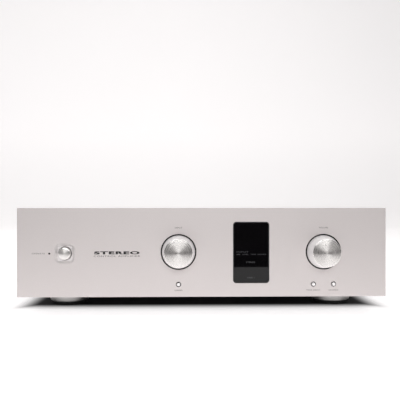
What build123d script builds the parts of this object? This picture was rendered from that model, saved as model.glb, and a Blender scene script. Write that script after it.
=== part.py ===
"""Full-width hi-fi control amplifier (stereo line preamplifier), as an assembly of separate pieces.

Millimetres. +X is to the right of the front panel, +Y points to the rear and +Z is up.
The origin is the centre of the footprint, on the surface that the feet stand on.
"""

import os

from build123d import *

os.makedirs("parts", exist_ok=True)

# ---------------------------------------------------------------- driving dimensions
unit_width = 440.0
unit_height = 130.0
unit_depth = 430.0  # from the knobs' faces to the tips of the rear sockets
knob_projection = 20.0
socket_projection = 12.0  # from the rear panel's outer face
ground_clearance = 24.0  # from the surface to the front panel's lower edge

# Clearances
fit = 0.1  # round a fixed piece in its seat
gap = 0.3  # between pieces that move past each other
running = 0.05  # radial, of a shaft in its bush and of a screw in its thread

# Sheet and plate
panel_thickness = 10.0
panel_edge = 0.6
steel = 1.6
side_sheet = 2.0
body_inset = 3.0  # the body is narrower than the front panel by this, each side
body_drop = 7.0  # and lower at the top
body_raise = 2.0  # and higher at the bottom
rear_lip = 2.0  # cover and sides run past the rear panel
flange = 12.0
corner_space = 14.0  # of a folded flange from the case's floor and ceiling
vent_length = 70.0
vent_width = 3.0
vent_pitch = 9.0
vents_in_row = 9
side_screws_from_front = (45.0, 160.0)
side_screws_from_rear = (130.0, 40.0)
corner_screw_rise = 20.0  # above the panel's middle
panel_screw_inset = 26.4
panel_screw_margin = 14.0
panel_screw_by_knob = 61.4
panel_screw_by_display = 42.0
partition_front_space = 4.0
partition_screw_inset = 40.0

# Front panel layout
input_knob_x = -28.6
volume_knob_inset = 75.2  # from the panel's right edge
knob_rise = 0.5  # above the panel's middle
power_inset = 56.3  # from the panel's left edge
power_rise = -1.2
led_spacing = 18.1  # from the power button's axis
display_rise = -0.3
small_button_rise = 14.8  # above the panel's lower edge
small_button_spread = 12.1  # to each side of the volume knob's axis

# Knobs
knob_well_radius = 21.25
knob_base_radius = 19.75
knob_face_radius = 16.0
knob_face_edge = 0.8
knob_back_gap = 2.0  # from the knob's back to the panel's back
knob_recess_radius = 10.0
knob_recess_depth = 4.5
knob_bore_end = 7.0  # left between the bore's end and the knob's face

# Encoders behind the knobs
shaft_radius = 3.0
bush_radius = 4.5
bush_length = 7.0  # past the sub-panel's back
encoder_radius = 12.0
encoder_length = 14.0
rotor_radius = 7.5
rotor_length = 3.0
rotor_set_back = 3.5
encoder_lead_circle = 8.4
encoder_leads = 5
nut_across_flats = 12.0
nut_thickness = 1.8
set_screw_radius = 1.45
set_screw_length = 6.0
set_screw_socket_width = 1.45
set_screw_socket_depth = 2.0
set_screw_y = 6.0  # in front of the panel's face
shaft_flat = 0.5

# Power button in its dish
dish_width = 23.5
dish_corner = 6.5
dish_depth = 3.0
dish_slope = 45.0
dish_floor_round = 1.8
power_hole_radius = 8.0
power_button_radius = 7.3
power_button_proud = 2.0
power_button_edge = 0.6
power_button_travel = 3.0
power_flange_radius = 9.5
power_flange_thickness = 1.2
power_stem_radius = 2.5
power_stem_entry = 1.0
spring_wire_radius = 0.45
spring_radius = 4.2
spring_turns = 5
switch_width = 16.0
switch_depth = 10.0

# Small push buttons and the power light
small_hole_radius = 3.0
small_button_radius = 2.35
small_button_proud = 1.8
small_button_edge = 0.4
small_button_travel = 1.0
small_flange_radius = 4.2
small_flange_thickness = 1.0
small_stem_radius = 1.5
small_stem_entry = 0.5
key_width = 6.0
key_depth = 3.5
led_hole_radius = 1.1
led_radius = 1.0
led_body_radius = 1.5

# Display
window_width = 43.5
window_height = 73.3
window_corner = 4.0
frame_wall = 1.1
frame_set_back = 0.3
glass_set_back = 1.2
glass_thickness = 2.0
frame_ledge = 1.8
frame_flange = 3.0
frame_flange_thickness = 2.0
display_air = 0.5
module_depth = 12.0
module_leg = 3.0

# Boards, spacers and screws
board = 1.6
board_stand_off = 10.0
control_board_space = 23.4  # from the sub-panel's back
control_board_inset = 15.0  # from the case's inside, each side
control_board_height = 84.0
lead_radius = 0.5
spacer_radius = 3.0
spacer_by_power = 29.0
spacer_by_knob = 33.6
spacer_by_display = 52.0
spacer_inset = 35.0  # of the last control board spacer from the panel's right edge
control_spacer_margin = 4.0
thread_run_out = 1.0
screw_radius = 1.5
screw_head_radius = 3.0
screw_head_height = 2.0
screw_length = 6.0
screw_socket_width = 2.0
screw_socket_depth = 1.2

# Feet
foot_inset_x = 42.0
foot_front_setback = 106.0  # from the front panel's face to the foot's axis
foot_rear_setback = 43.0  # from the rear panel's face to the foot's axis
foot_top_radius = 27.0
foot_bottom_radius = 26.0
foot_edge = 1.0
foot_cavity_radius = 7.0
foot_floor = 12.0  # height of the screw's seat
pad_radius = 23.5
pad_hole_radius = 9.0
pad_height = 5.0
pad_proud = 3.0
foot_screw_radius = 2.5
foot_screw_head_radius = 4.5
foot_screw_head_height = 3.5
foot_screw_length = 18.0
foot_screw_socket_width = 4.0
foot_screw_socket_depth = 2.4
foot_boss_radius = 5.0
foot_boss_height = 5.0

# Power supply
power_bay_width = 145.0  # from the left side panel to the partition
partition_headroom = 6.0
transformer_radius = 58.0
transformer_hole_radius = 18.0
transformer_height = 56.0
transformer_edge = 8.0
transformer_front_space = 8.0  # behind the control board
transformer_base_radius = 30.0
transformer_base_height = 8.0
transformer_plate_radius = 42.0
transformer_plate_thickness = 2.5
transformer_bolt_radius = 4.0
transformer_bolt_head = 13.0
transformer_bolt_head_height = 5.5
supply_board_size = 120.0
supply_board_space = 22.0  # behind the transformer
capacitor_radius = 17.5
capacitor_height = 50.0
capacitor_pitch = 46.0
capacitor_edge = 2.0
mains_lead_radius = 2.5
mains_lead_bend = 6.0
mains_lead_drop = 4.0
mains_lead_inset = 10.0  # of its end from the power supply board's rear edge

# Audio boards
main_board_side_space = 12.0
main_board_front_space = 12.0
main_board_rear_space = 30.0
board_screw_inset = 6.0
module_width = 58.0
module_length = 84.0
module_height = 24.0
relay_width = 10.0
relay_length = 20.0
relay_height = 11.0
module_share = 3  # modules stand a third of the board apart
ribbon_width = 30.0
ribbon_thickness = 1.0
ribbon_overlap = 10.0  # onto the main board
ribbon_rise = 12.0  # above the main board

# Rear sockets
row_spacing = 40.0
row_rise = 1.0  # of the middle between the rows, above the front panel's middle
connector_margin = 31.0  # from the case's inside to the balanced inputs
balanced_spacing = 36.0  # from a balanced socket to the nearest phono column
phono_pitch = 21.0
phono_columns_in = 5
phono_columns_out = 3
phono_group_space = 5.0
phono_block_width = 12.0
phono_block_margin = 9.0
phono_block_depth = 14.0
phono_boss_radius = 5.8
phono_boss_height = 1.0
phono_flange_radius = 5.6
phono_flange_thickness = 1.0
phono_shell_radius = 4.15
phono_shell_wall = 0.75
phono_contact_radius = 1.65
phono_contact_depth = 12.0
phono_core_set_back = 0.5
balanced_width = 26.0
balanced_height = 31.0
balanced_corner = 2.5
balanced_flange = 2.0
balanced_barrel_radius = 12.0
balanced_barrel_length = 18.0
balanced_bore_radius = 9.6
balanced_bore_depth = 15.0
balanced_core_radius = 7.8
balanced_pin_circle = 4.9
balanced_pin_radius = 1.2
balanced_pin_hole_radius = 1.45
balanced_pin_length = 12.0
balanced_seat_depth = 3.0  # that a pin goes into the barrel's back wall
balanced_screw_x = 9.5
balanced_screw_z = 12.0
latch_width = 7.4
latch_height = 3.4
latch_rise = 12.2
latch_length = 10.0
latch_proud = 2.2
latch_travel = 1.5
latch_tunnel_wall = 1.2
inlet_inset = 52.0  # from the unit's left edge
inlet_rise = -13.0
inlet_flange_width = 50.0
inlet_flange_height = 24.0
inlet_flange = 2.5
inlet_corner = 5.0
inlet_width = 27.5
inlet_height = 20.0
inlet_depth = 24.0
inlet_wall = 1.5
inlet_recess_depth = 20.0
inlet_screw_spacing = 40.0
inlet_pin = (2.0, 4.0)
inlet_pin_spacing = 14.0
inlet_pin_rise = 4.0
inlet_pin_drop = -2.0
inlet_pin_length = 16.0
inlet_tail = 5.0  # of a pin, behind the inlet's body
ground_spacing = 72.0  # from the mains inlet
ground_stud_radius = 2.0
ground_base_across_flats = 8.0
ground_base_height = 2.0
ground_washer_radius = 4.8
ground_washer_thickness = 0.8
ground_nut_radius = 5.0
ground_nut_length = 5.0
ground_nut_grooves = 24
ground_groove_radius = 0.4
ground_stud_end = 0.5  # short of the sockets' tips

# ---------------------------------------------------------------- derived places
front_y = -unit_depth / 2 + knob_projection
panel_back_y = front_y + panel_thickness
sub_back_y = panel_back_y + steel
rear_y = unit_depth / 2 - socket_projection
rear_inner_y = rear_y - steel
body_end_y = rear_y + rear_lip

panel_height = unit_height - ground_clearance
panel_z = ground_clearance + panel_height / 2
body_half = unit_width / 2 - body_inset
inner_half = body_half - side_sheet
body_bottom_z = ground_clearance + body_raise
body_top_z = unit_height - body_drop
floor_z = body_bottom_z + steel
ceiling_z = body_top_z - steel
side_flange_z = ceiling_z - side_sheet

volume_knob_x = unit_width / 2 - volume_knob_inset
knob_z = panel_z + knob_rise
knob_axes = {"input": (input_knob_x, knob_z), "volume": (volume_knob_x, knob_z)}
power_axis = (-unit_width / 2 + power_inset, panel_z + power_rise)
led_axis = (power_axis[0] - led_spacing, power_axis[1])
display_at = ((input_knob_x + volume_knob_x) / 2, panel_z + display_rise)
small_button_z = ground_clearance + small_button_rise
small_buttons = {
    "dimmer_button": (input_knob_x, small_button_z),
    "tone_button": (volume_knob_x - small_button_spread, small_button_z),
    "loudness_button": (volume_knob_x + small_button_spread, small_button_z),
}

control_board_y = sub_back_y + control_board_space
control_board_back_y = control_board_y + board
board_z = floor_z + board_stand_off
board_top_z = board_z + board
partition_x = -inner_half + power_bay_width

rows_z = panel_z + row_rise
row_zs = [rows_z + row_spacing / 2, rows_z - row_spacing / 2]
balanced_input_x = inner_half - connector_margin
first_phono_x = balanced_input_x - balanced_spacing
phono_xs = [first_phono_x - i * phono_pitch for i in range(phono_columns_in)]
first_output_x = phono_xs[-1] - phono_pitch - phono_group_space
phono_xs += [first_output_x - i * phono_pitch for i in range(phono_columns_out)]
balanced_output_x = phono_xs[-1] - balanced_spacing
inlet_at = (-unit_width / 2 + inlet_inset, panel_z + inlet_rise)
ground_at = (inlet_at[0] + ground_spacing, inlet_at[1])

module_size = (
    window_width - 2 * (fit + frame_wall + frame_ledge + gap),
    window_height - 2 * (fit + frame_wall + frame_ledge + gap),
)
glass_back_y = front_y + glass_set_back + glass_thickness
module_front_y = glass_back_y + display_air
module_back_y = module_front_y + module_depth

foot_xs = {"left": -unit_width / 2 + foot_inset_x, "right": unit_width / 2 - foot_inset_x}
foot_ys = {"front": front_y + foot_front_setback, "rear": rear_y - foot_rear_setback}
foot_axes = {f"foot_{row}_{side}": (foot_xs[side], foot_ys[row]) for row in foot_ys for side in foot_xs}


# ---------------------------------------------------------------- helpers
def facing_front(y):
    """The plane at y that faces the front: local x is +X, local y is +Z."""
    return Plane.XZ.offset(-y)


def facing_rear(x, y, z):
    """A plane at a point that faces the rear: local x is -X, local y is +Z."""
    return Plane((x, y, z), x_dir=(-1, 0, 0), z_dir=(0, 1, 0))


def facing_up(x, y, z):
    """A plane at a point that faces up: local x is +X, local y is +Y."""
    return Plane((x, y, z), x_dir=(1, 0, 0), z_dir=(0, 0, 1))


def discs(plane, points, radius):
    """Equal discs on a plane, one at each point."""
    with BuildSketch(plane, mode=Mode.PRIVATE) as sketch:
        with Locations(*points):
            Circle(radius)
    return sketch.sketch


def rectangle(plane, point, width, height, corner=0):
    """A rectangle on a plane, with round corners if a corner radius is given."""
    with BuildSketch(plane, mode=Mode.PRIVATE) as sketch:
        with Locations(point):
            if corner:
                RectangleRounded(width, height, corner)
            else:
                Rectangle(width, height)
    return sketch.sketch


def half_section(plane, points):
    """The face inside a closed outline on a plane, to be turned about the plane's y axis."""
    with BuildSketch(plane, mode=Mode.PRIVATE) as sketch:
        with BuildLine():
            Polyline(*points, close=True)
        make_face()
    return sketch.sketch


def axis_to_rear(point):
    """The line along +Y through a point (x, z)."""
    return Axis((point[0], 0, point[1]), (0, 1, 0))


def turning_plane(point):
    """The plane through a point (x, z) where local x is the radius and local y is the row's y."""
    return Plane((point[0], 0, point[1]), x_dir=(1, 0, 0), z_dir=(0, 0, 1))


def block(x_range, y_range, z_range):
    """A box between two limits along each axis."""
    spans = [high - low for low, high in (x_range, y_range, z_range)]
    corner = (x_range[0], y_range[0], z_range[0])
    with BuildPart(Plane(corner), mode=Mode.PRIVATE) as piece:
        Box(*spans, align=(Align.MIN, Align.MIN, Align.MIN))
    return piece.part


def save(piece, name):
    """Labels a finished piece and writes its STEP file."""
    piece.part.label = name
    export_step(piece.part, f"parts/{name}.step")


# ---------------------------------------------------------------- places of screws and spacers
cover_screw_xs = [-inner_half + flange / 2, inner_half - flange / 2]
side_screw_ys = [front_y + offset for offset in side_screws_from_front]
side_screw_ys += [rear_y - offset for offset in side_screws_from_rear]
panel_screw_xs = [
    -unit_width / 2 + panel_screw_inset,
    input_knob_x - panel_screw_by_knob,
    display_at[0] + panel_screw_by_display,
    unit_width / 2 - panel_screw_inset,
]
panel_screw_zs = [ground_clearance + panel_screw_margin, unit_height - panel_screw_margin]
panel_screws_at = [(x, z) for x in panel_screw_xs for z in panel_screw_zs]
tray_screw_z = floor_z + flange / 2
corner_screw_z = panel_z + corner_screw_rise
front_flange_y = sub_back_y + flange / 2
rear_flange_y = rear_inner_y - flange / 2
side_screws_at = [(y, tray_screw_z) for y in side_screw_ys]
side_screws_at += [(front_flange_y, corner_screw_z), (rear_flange_y, corner_screw_z)]
partition_front_y = control_board_back_y + partition_front_space
partition_screw_ys = [partition_front_y + partition_screw_inset, rear_inner_y - partition_screw_inset]
partition_screw_x = partition_x + steel + flange / 2
phono_screws_at = [(x, rows_z) for x in phono_xs]
balanced_screws_at = [
    (x + sign * balanced_screw_x, z - sign * balanced_screw_z)
    for x in (balanced_input_x, balanced_output_x)
    for z in row_zs
    for sign in (-1, 1)
]
inlet_screws_at = [(inlet_at[0] + sign * inlet_screw_spacing / 2, inlet_at[1]) for sign in (-1, 1)]

control_spacer_xs = [
    power_axis[0] + spacer_by_power,
    input_knob_x + spacer_by_knob,
    display_at[0] + spacer_by_display,
    unit_width / 2 - spacer_inset,
]
control_spacer_rise = control_board_height / 2 - control_spacer_margin
control_spacers_at = [
    (x, panel_z + sign * control_spacer_rise) for x in control_spacer_xs for sign in (-1, 1)
]
transformer_at = (
    (-inner_half + partition_x) / 2,
    control_board_back_y + transformer_front_space + transformer_radius,
)
supply_board_at = (
    transformer_at[0],
    transformer_at[1] + transformer_radius + supply_board_space + supply_board_size / 2,
)
main_board_x = (partition_x + flange + main_board_side_space, inner_half - main_board_side_space)
main_board_y = (control_board_back_y + main_board_front_space, rear_inner_y - main_board_rear_space)
main_board_size = (main_board_x[1] - main_board_x[0], main_board_y[1] - main_board_y[0])
main_board_at = (sum(main_board_x) / 2, sum(main_board_y) / 2)


def board_corners(centre, size):
    """Where a board's four screws go."""
    width, length = size
    return [
        (centre[0] + across, centre[1] + along)
        for across in (board_screw_inset - width / 2, width / 2 - board_screw_inset)
        for along in (board_screw_inset - length / 2, length / 2 - board_screw_inset)
    ]


floor_spacers_at = board_corners(supply_board_at, (supply_board_size, supply_board_size))
floor_spacers_at += board_corners(main_board_at, main_board_size)

# ---------------------------------------------------------------- front panel
window = (window_width, window_height, window_corner)
flange_size = (
    window_width + 2 * frame_flange,
    window_height + 2 * frame_flange,
    window_corner + frame_flange,
)

with BuildPart() as front_panel:
    with BuildSketch(facing_front(front_y)):
        with Locations((0, panel_z)):
            Rectangle(unit_width, panel_height)
    extrude(amount=-panel_thickness)
    chamfer(front_panel.faces().sort_by(Axis.Y)[0].edges(), panel_edge)
    # The wells that the knobs stand in, the display opening, and the step behind it for the frame's flange
    wells = discs(facing_front(front_y), knob_axes.values(), knob_well_radius)
    extrude(wells, amount=-panel_thickness, mode=Mode.SUBTRACT)
    window_face = rectangle(facing_front(front_y), display_at, *window)
    extrude(window_face, amount=-panel_thickness, mode=Mode.SUBTRACT)
    step = (flange_size[0] + 2 * fit, flange_size[1] + 2 * fit, flange_size[2] + fit)
    step_face = rectangle(facing_front(panel_back_y), display_at, *step)
    extrude(step_face, amount=frame_flange_thickness + fit, mode=Mode.SUBTRACT)
    # The dish round the power button
    with BuildSketch(facing_front(front_y)):
        with Locations(power_axis):
            RectangleRounded(dish_width, dish_width, dish_corner)
    extrude(amount=-dish_depth, taper=dish_slope, mode=Mode.SUBTRACT)
    dish_floor = front_panel.faces().filter_by(Axis.Y).filter_by_position(
        Axis.Y, front_y + dish_depth - fit, front_y + dish_depth + fit
    )
    fillet(dish_floor.edges(), dish_floor_round)
    # Holes for the buttons and the power light
    for points, radius in (
        ([power_axis], power_hole_radius),
        (small_buttons.values(), small_hole_radius),
        ([led_axis], led_hole_radius),
    ):
        holes = discs(facing_front(front_y), points, radius)
        extrude(holes, amount=-panel_thickness, mode=Mode.SUBTRACT)
    # Blind holes that the sub-panel's screws go into
    threads = discs(facing_front(panel_back_y), panel_screws_at, screw_radius + running)
    extrude(threads, amount=screw_length, mode=Mode.SUBTRACT)
save(front_panel, "front_panel")

# ---------------------------------------------------------------- the case's sheets
tray_half = inner_half - fit
folded_flange_z = (floor_z + corner_space, ceiling_z - corner_space)


def both_sides(x_range):
    """A range of x, and its mirror image."""
    return [x_range, (-x_range[1], -x_range[0])]


with BuildPart() as sub_panel:
    add(block((-tray_half, tray_half), (panel_back_y, sub_back_y), (floor_z + fit, ceiling_z - fit)))
    for side in both_sides((tray_half - steel, tray_half)):
        add(block(side, (sub_back_y, sub_back_y + flange), folded_flange_z))
        screw_hole = discs(
            Plane.YZ.offset(side[0]), [(front_flange_y, corner_screw_z)], screw_radius + running
        )
        extrude(screw_hole, amount=steel, mode=Mode.SUBTRACT)
    for points, radius in (
        (knob_axes.values(), bush_radius + fit),
        ([power_axis], power_flange_radius + gap),
        (small_buttons.values(), small_flange_radius + gap),
        ([led_axis], led_body_radius + gap),
        (panel_screws_at, screw_radius + fit),
    ):
        holes = discs(facing_front(panel_back_y), points, radius)
        extrude(holes, amount=-steel, mode=Mode.SUBTRACT)
    module_opening = rectangle(
        facing_front(panel_back_y), display_at, module_size[0] + 2 * gap, module_size[1] + 2 * gap
    )
    extrude(module_opening, amount=-steel, mode=Mode.SUBTRACT)
save(sub_panel, "sub_panel")

with BuildPart() as base_tray:
    add(block((-tray_half, tray_half), (panel_back_y, rear_y), (body_bottom_z, floor_z)))
    for side in both_sides((tray_half - steel, tray_half)):
        add(block(side, (sub_back_y + fit, rear_inner_y - fit), (floor_z, floor_z + flange)))
        tray_screws_at = [(y, tray_screw_z) for y in side_screw_ys]
        screw_holes = discs(Plane.YZ.offset(side[0]), tray_screws_at, screw_radius + running)
        extrude(screw_holes, amount=steel, mode=Mode.SUBTRACT)
    # Threaded bosses over the feet, and one in the middle of the transformer
    bosses = discs(Plane.XY.offset(floor_z), foot_axes.values(), foot_boss_radius)
    extrude(bosses, amount=foot_boss_height)
    foot_threads = discs(Plane.XY.offset(body_bottom_z), foot_axes.values(), foot_screw_radius + running)
    extrude(foot_threads, amount=steel + foot_boss_height, mode=Mode.SUBTRACT)
    extrude(discs(Plane.XY.offset(floor_z), [transformer_at], transformer_bolt_head), amount=foot_boss_height)
    bolt_thread = discs(Plane.XY.offset(body_bottom_z), [transformer_at], transformer_bolt_radius + running)
    extrude(bolt_thread, amount=steel + foot_boss_height, mode=Mode.SUBTRACT)
    partition_holes = discs(
        Plane.XY.offset(body_bottom_z),
        [(partition_screw_x, y) for y in partition_screw_ys],
        screw_radius + fit,
    )
    extrude(partition_holes, amount=steel, mode=Mode.SUBTRACT)
    # Vents under the power supply board and under the main board
    with BuildSketch(Plane.XY.offset(body_bottom_z)):
        for centre in (supply_board_at, main_board_at):
            with Locations(centre):
                with GridLocations(vent_pitch, vent_length, vents_in_row, 1):
                    SlotOverall(vent_length, vent_width, rotation=90)
    extrude(amount=steel, mode=Mode.SUBTRACT)
save(base_tray, "base_tray")

with BuildPart() as top_cover:
    add(block((-body_half, body_half), (panel_back_y, body_end_y), (ceiling_z, body_top_z)))
    cover_holes = discs(
        Plane.XY.offset(ceiling_z),
        [(x, y) for x in cover_screw_xs for y in side_screw_ys],
        screw_radius + fit,
    )
    extrude(cover_holes, amount=steel, mode=Mode.SUBTRACT)
    with BuildSketch(Plane.XY.offset(ceiling_z)):
        for centre in (transformer_at, supply_board_at, main_board_at):
            with Locations(centre):
                with GridLocations(vent_pitch, vent_length, vents_in_row, 1):
                    SlotOverall(vent_length, vent_width, rotation=90)
    extrude(amount=steel, mode=Mode.SUBTRACT)
save(top_cover, "top_cover")

for side_name, sign in (("left", -1), ("right", 1)):
    outer_x = sorted((sign * inner_half, sign * body_half))
    flange_x = sorted((sign * (inner_half - flange), sign * inner_half))
    with BuildPart() as side_panel:
        add(block(outer_x, (panel_back_y, body_end_y), (body_bottom_z, ceiling_z)))
        add(block(flange_x, (sub_back_y + fit, rear_inner_y - fit), (side_flange_z, ceiling_z)))
        side_holes = discs(Plane.YZ.offset(outer_x[0]), side_screws_at, screw_radius + fit)
        extrude(side_holes, amount=side_sheet, mode=Mode.SUBTRACT)
        cover_x = cover_screw_xs[0] if sign < 0 else cover_screw_xs[1]
        cover_threads = discs(
            Plane.XY.offset(side_flange_z), [(cover_x, y) for y in side_screw_ys], screw_radius + running
        )
        extrude(cover_threads, amount=side_sheet, mode=Mode.SUBTRACT)
    save(side_panel, f"side_panel_{side_name}")

with BuildPart() as partition:
    partition_y = (partition_front_y, rear_inner_y - fit)
    add(block((partition_x, partition_x + steel), partition_y, (floor_z, ceiling_z - partition_headroom)))
    add(block((partition_x, partition_x + steel + flange), partition_y, (floor_z, floor_z + steel)))
    partition_threads = discs(
        Plane.XY.offset(floor_z),
        [(partition_screw_x, y) for y in partition_screw_ys],
        screw_radius + running,
    )
    extrude(partition_threads, amount=steel, mode=Mode.SUBTRACT)
save(partition, "partition")


def balanced_outline(plane, point, grow, with_latch):
    """The outline of a balanced socket's body behind its flange."""
    with BuildSketch(plane, mode=Mode.PRIVATE) as sketch:
        with Locations(point):
            Circle(balanced_barrel_radius + grow)
        if with_latch:
            wall = gap + latch_tunnel_wall + grow
            with Locations((point[0], point[1] + latch_rise)):
                Rectangle(latch_width + 2 * wall, latch_height + 2 * wall)
    return sketch.sketch


balanced_input_points = [(balanced_input_x, z) for z in row_zs]
balanced_output_points = [(balanced_output_x, z) for z in row_zs]
phono_points = [(x, z) for x in phono_xs for z in row_zs]

with BuildPart() as rear_panel:
    add(block((-tray_half, tray_half), (rear_inner_y, rear_y), (floor_z + fit, ceiling_z - fit)))
    for side in both_sides((tray_half - steel, tray_half)):
        add(block(side, (rear_inner_y - flange, rear_inner_y), folded_flange_z))
        screw_hole = discs(
            Plane.YZ.offset(side[0]), [(rear_flange_y, corner_screw_z)], screw_radius + running
        )
        extrude(screw_hole, amount=steel, mode=Mode.SUBTRACT)
    for points, radius in (
        (phono_points, phono_boss_radius + fit),
        (phono_screws_at, screw_radius + fit),
        (balanced_screws_at + inlet_screws_at, screw_radius + running),
        ([ground_at], ground_stud_radius + fit),
    ):
        holes = discs(facing_front(rear_inner_y), points, radius)
        extrude(holes, amount=-steel, mode=Mode.SUBTRACT)
    for point in balanced_input_points:
        outline = balanced_outline(facing_front(rear_inner_y), point, fit, True)
        extrude(outline, amount=-steel, mode=Mode.SUBTRACT)
    for point in balanced_output_points:
        outline = balanced_outline(facing_front(rear_inner_y), point, fit, False)
        extrude(outline, amount=-steel, mode=Mode.SUBTRACT)
    inlet_cutout = rectangle(
        facing_front(rear_inner_y), inlet_at, inlet_width + 2 * fit, inlet_height + 2 * fit
    )
    extrude(inlet_cutout, amount=-steel, mode=Mode.SUBTRACT)
save(rear_panel, "rear_panel")


# ---------------------------------------------------------------- screws
def make_screws(planes, radius, length, head_radius, head_height, socket_width, socket_depth):
    """Equal socket screws, one at each plane: the head stands on the plane and the shank goes below."""
    with BuildPart() as screws:
        with BuildSketch(*planes):
            Circle(head_radius)
        extrude(amount=head_height)
        with BuildSketch(*planes):
            Circle(radius)
        extrude(amount=-length)
        with BuildSketch(*[plane.offset(head_height) for plane in planes]):
            RegularPolygon(socket_width / 2, 6, major_radius=False)
        extrude(amount=-socket_depth, mode=Mode.SUBTRACT)
    return screws


case_planes = [facing_rear(x, sub_back_y, z) for x, z in panel_screws_at]
case_planes += [facing_up(x, y, body_top_z) for x in cover_screw_xs for y in side_screw_ys]
for y, z in side_screws_at:
    case_planes.append(Plane((body_half, y, z), x_dir=(0, 1, 0), z_dir=(1, 0, 0)))
    case_planes.append(Plane((-body_half, y, z), x_dir=(0, 1, 0), z_dir=(-1, 0, 0)))
case_planes += [
    Plane((partition_screw_x, y, body_bottom_z), x_dir=(1, 0, 0), z_dir=(0, 0, -1))
    for y in partition_screw_ys
]
case_planes += [facing_rear(x, rear_y, z) for x, z in phono_screws_at]
case_planes += [facing_rear(x, rear_y + balanced_flange, z) for x, z in balanced_screws_at]
case_planes += [facing_rear(x, rear_y + inlet_flange, z) for x, z in inlet_screws_at]
case_planes += [facing_rear(x, control_board_back_y, z) for x, z in control_spacers_at]
case_planes += [facing_up(x, y, board_top_z) for x, y in floor_spacers_at]
machine_screws = make_screws(
    case_planes,
    screw_radius,
    screw_length,
    screw_head_radius,
    screw_head_height,
    screw_socket_width,
    screw_socket_depth,
)
save(machine_screws, "machine_screws")

# ---------------------------------------------------------------- feet
for foot_name, (foot_x, foot_y) in foot_axes.items():
    foot_plane = Plane((foot_x, foot_y, 0), x_dir=(1, 0, 0), z_dir=(0, -1, 0))
    with BuildPart() as foot:
        add(
            half_section(
                foot_plane,
                [
                    (foot_screw_radius + fit, foot_floor),
                    (foot_cavity_radius, foot_floor),
                    (foot_cavity_radius, pad_height + fit),
                    (pad_radius + fit, pad_height + fit),
                    (pad_radius + fit, pad_proud),
                    (foot_bottom_radius - foot_edge, pad_proud),
                    (foot_bottom_radius, pad_proud + foot_edge),
                    (foot_top_radius, body_bottom_z - foot_edge),
                    (foot_top_radius - foot_edge, body_bottom_z),
                    (foot_screw_radius + fit, body_bottom_z),
                ],
            )
        )
        revolve(axis=Axis((foot_x, foot_y, 0), (0, 0, 1)))
    save(foot, foot_name)

with BuildPart() as foot_pads:
    extrude(discs(Plane.XY, foot_axes.values(), pad_radius), amount=pad_height)
    extrude(discs(Plane.XY, foot_axes.values(), pad_hole_radius), amount=pad_height, mode=Mode.SUBTRACT)
save(foot_pads, "foot_pads")

foot_planes = [Plane((x, y, foot_floor), x_dir=(1, 0, 0), z_dir=(0, 0, -1)) for x, y in foot_axes.values()]
foot_screws = make_screws(
    foot_planes,
    foot_screw_radius,
    foot_screw_length,
    foot_screw_head_radius,
    foot_screw_head_height,
    foot_screw_socket_width,
    foot_screw_socket_depth,
)
save(foot_screws, "foot_screws")

# ---------------------------------------------------------------- knobs and their encoders
knob_face_y = front_y - knob_projection
knob_back_y = panel_back_y - knob_back_gap
knob_recess_y = knob_back_y - knob_recess_depth
knob_bore_y = knob_face_y + knob_bore_end
encoder_back_y = sub_back_y + encoder_length
rotor_front_y = sub_back_y + rotor_set_back
rotor_back_y = rotor_front_y + rotor_length
bush_end_y = sub_back_y - bush_length
set_screw_z_top = shaft_radius - shaft_flat

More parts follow.
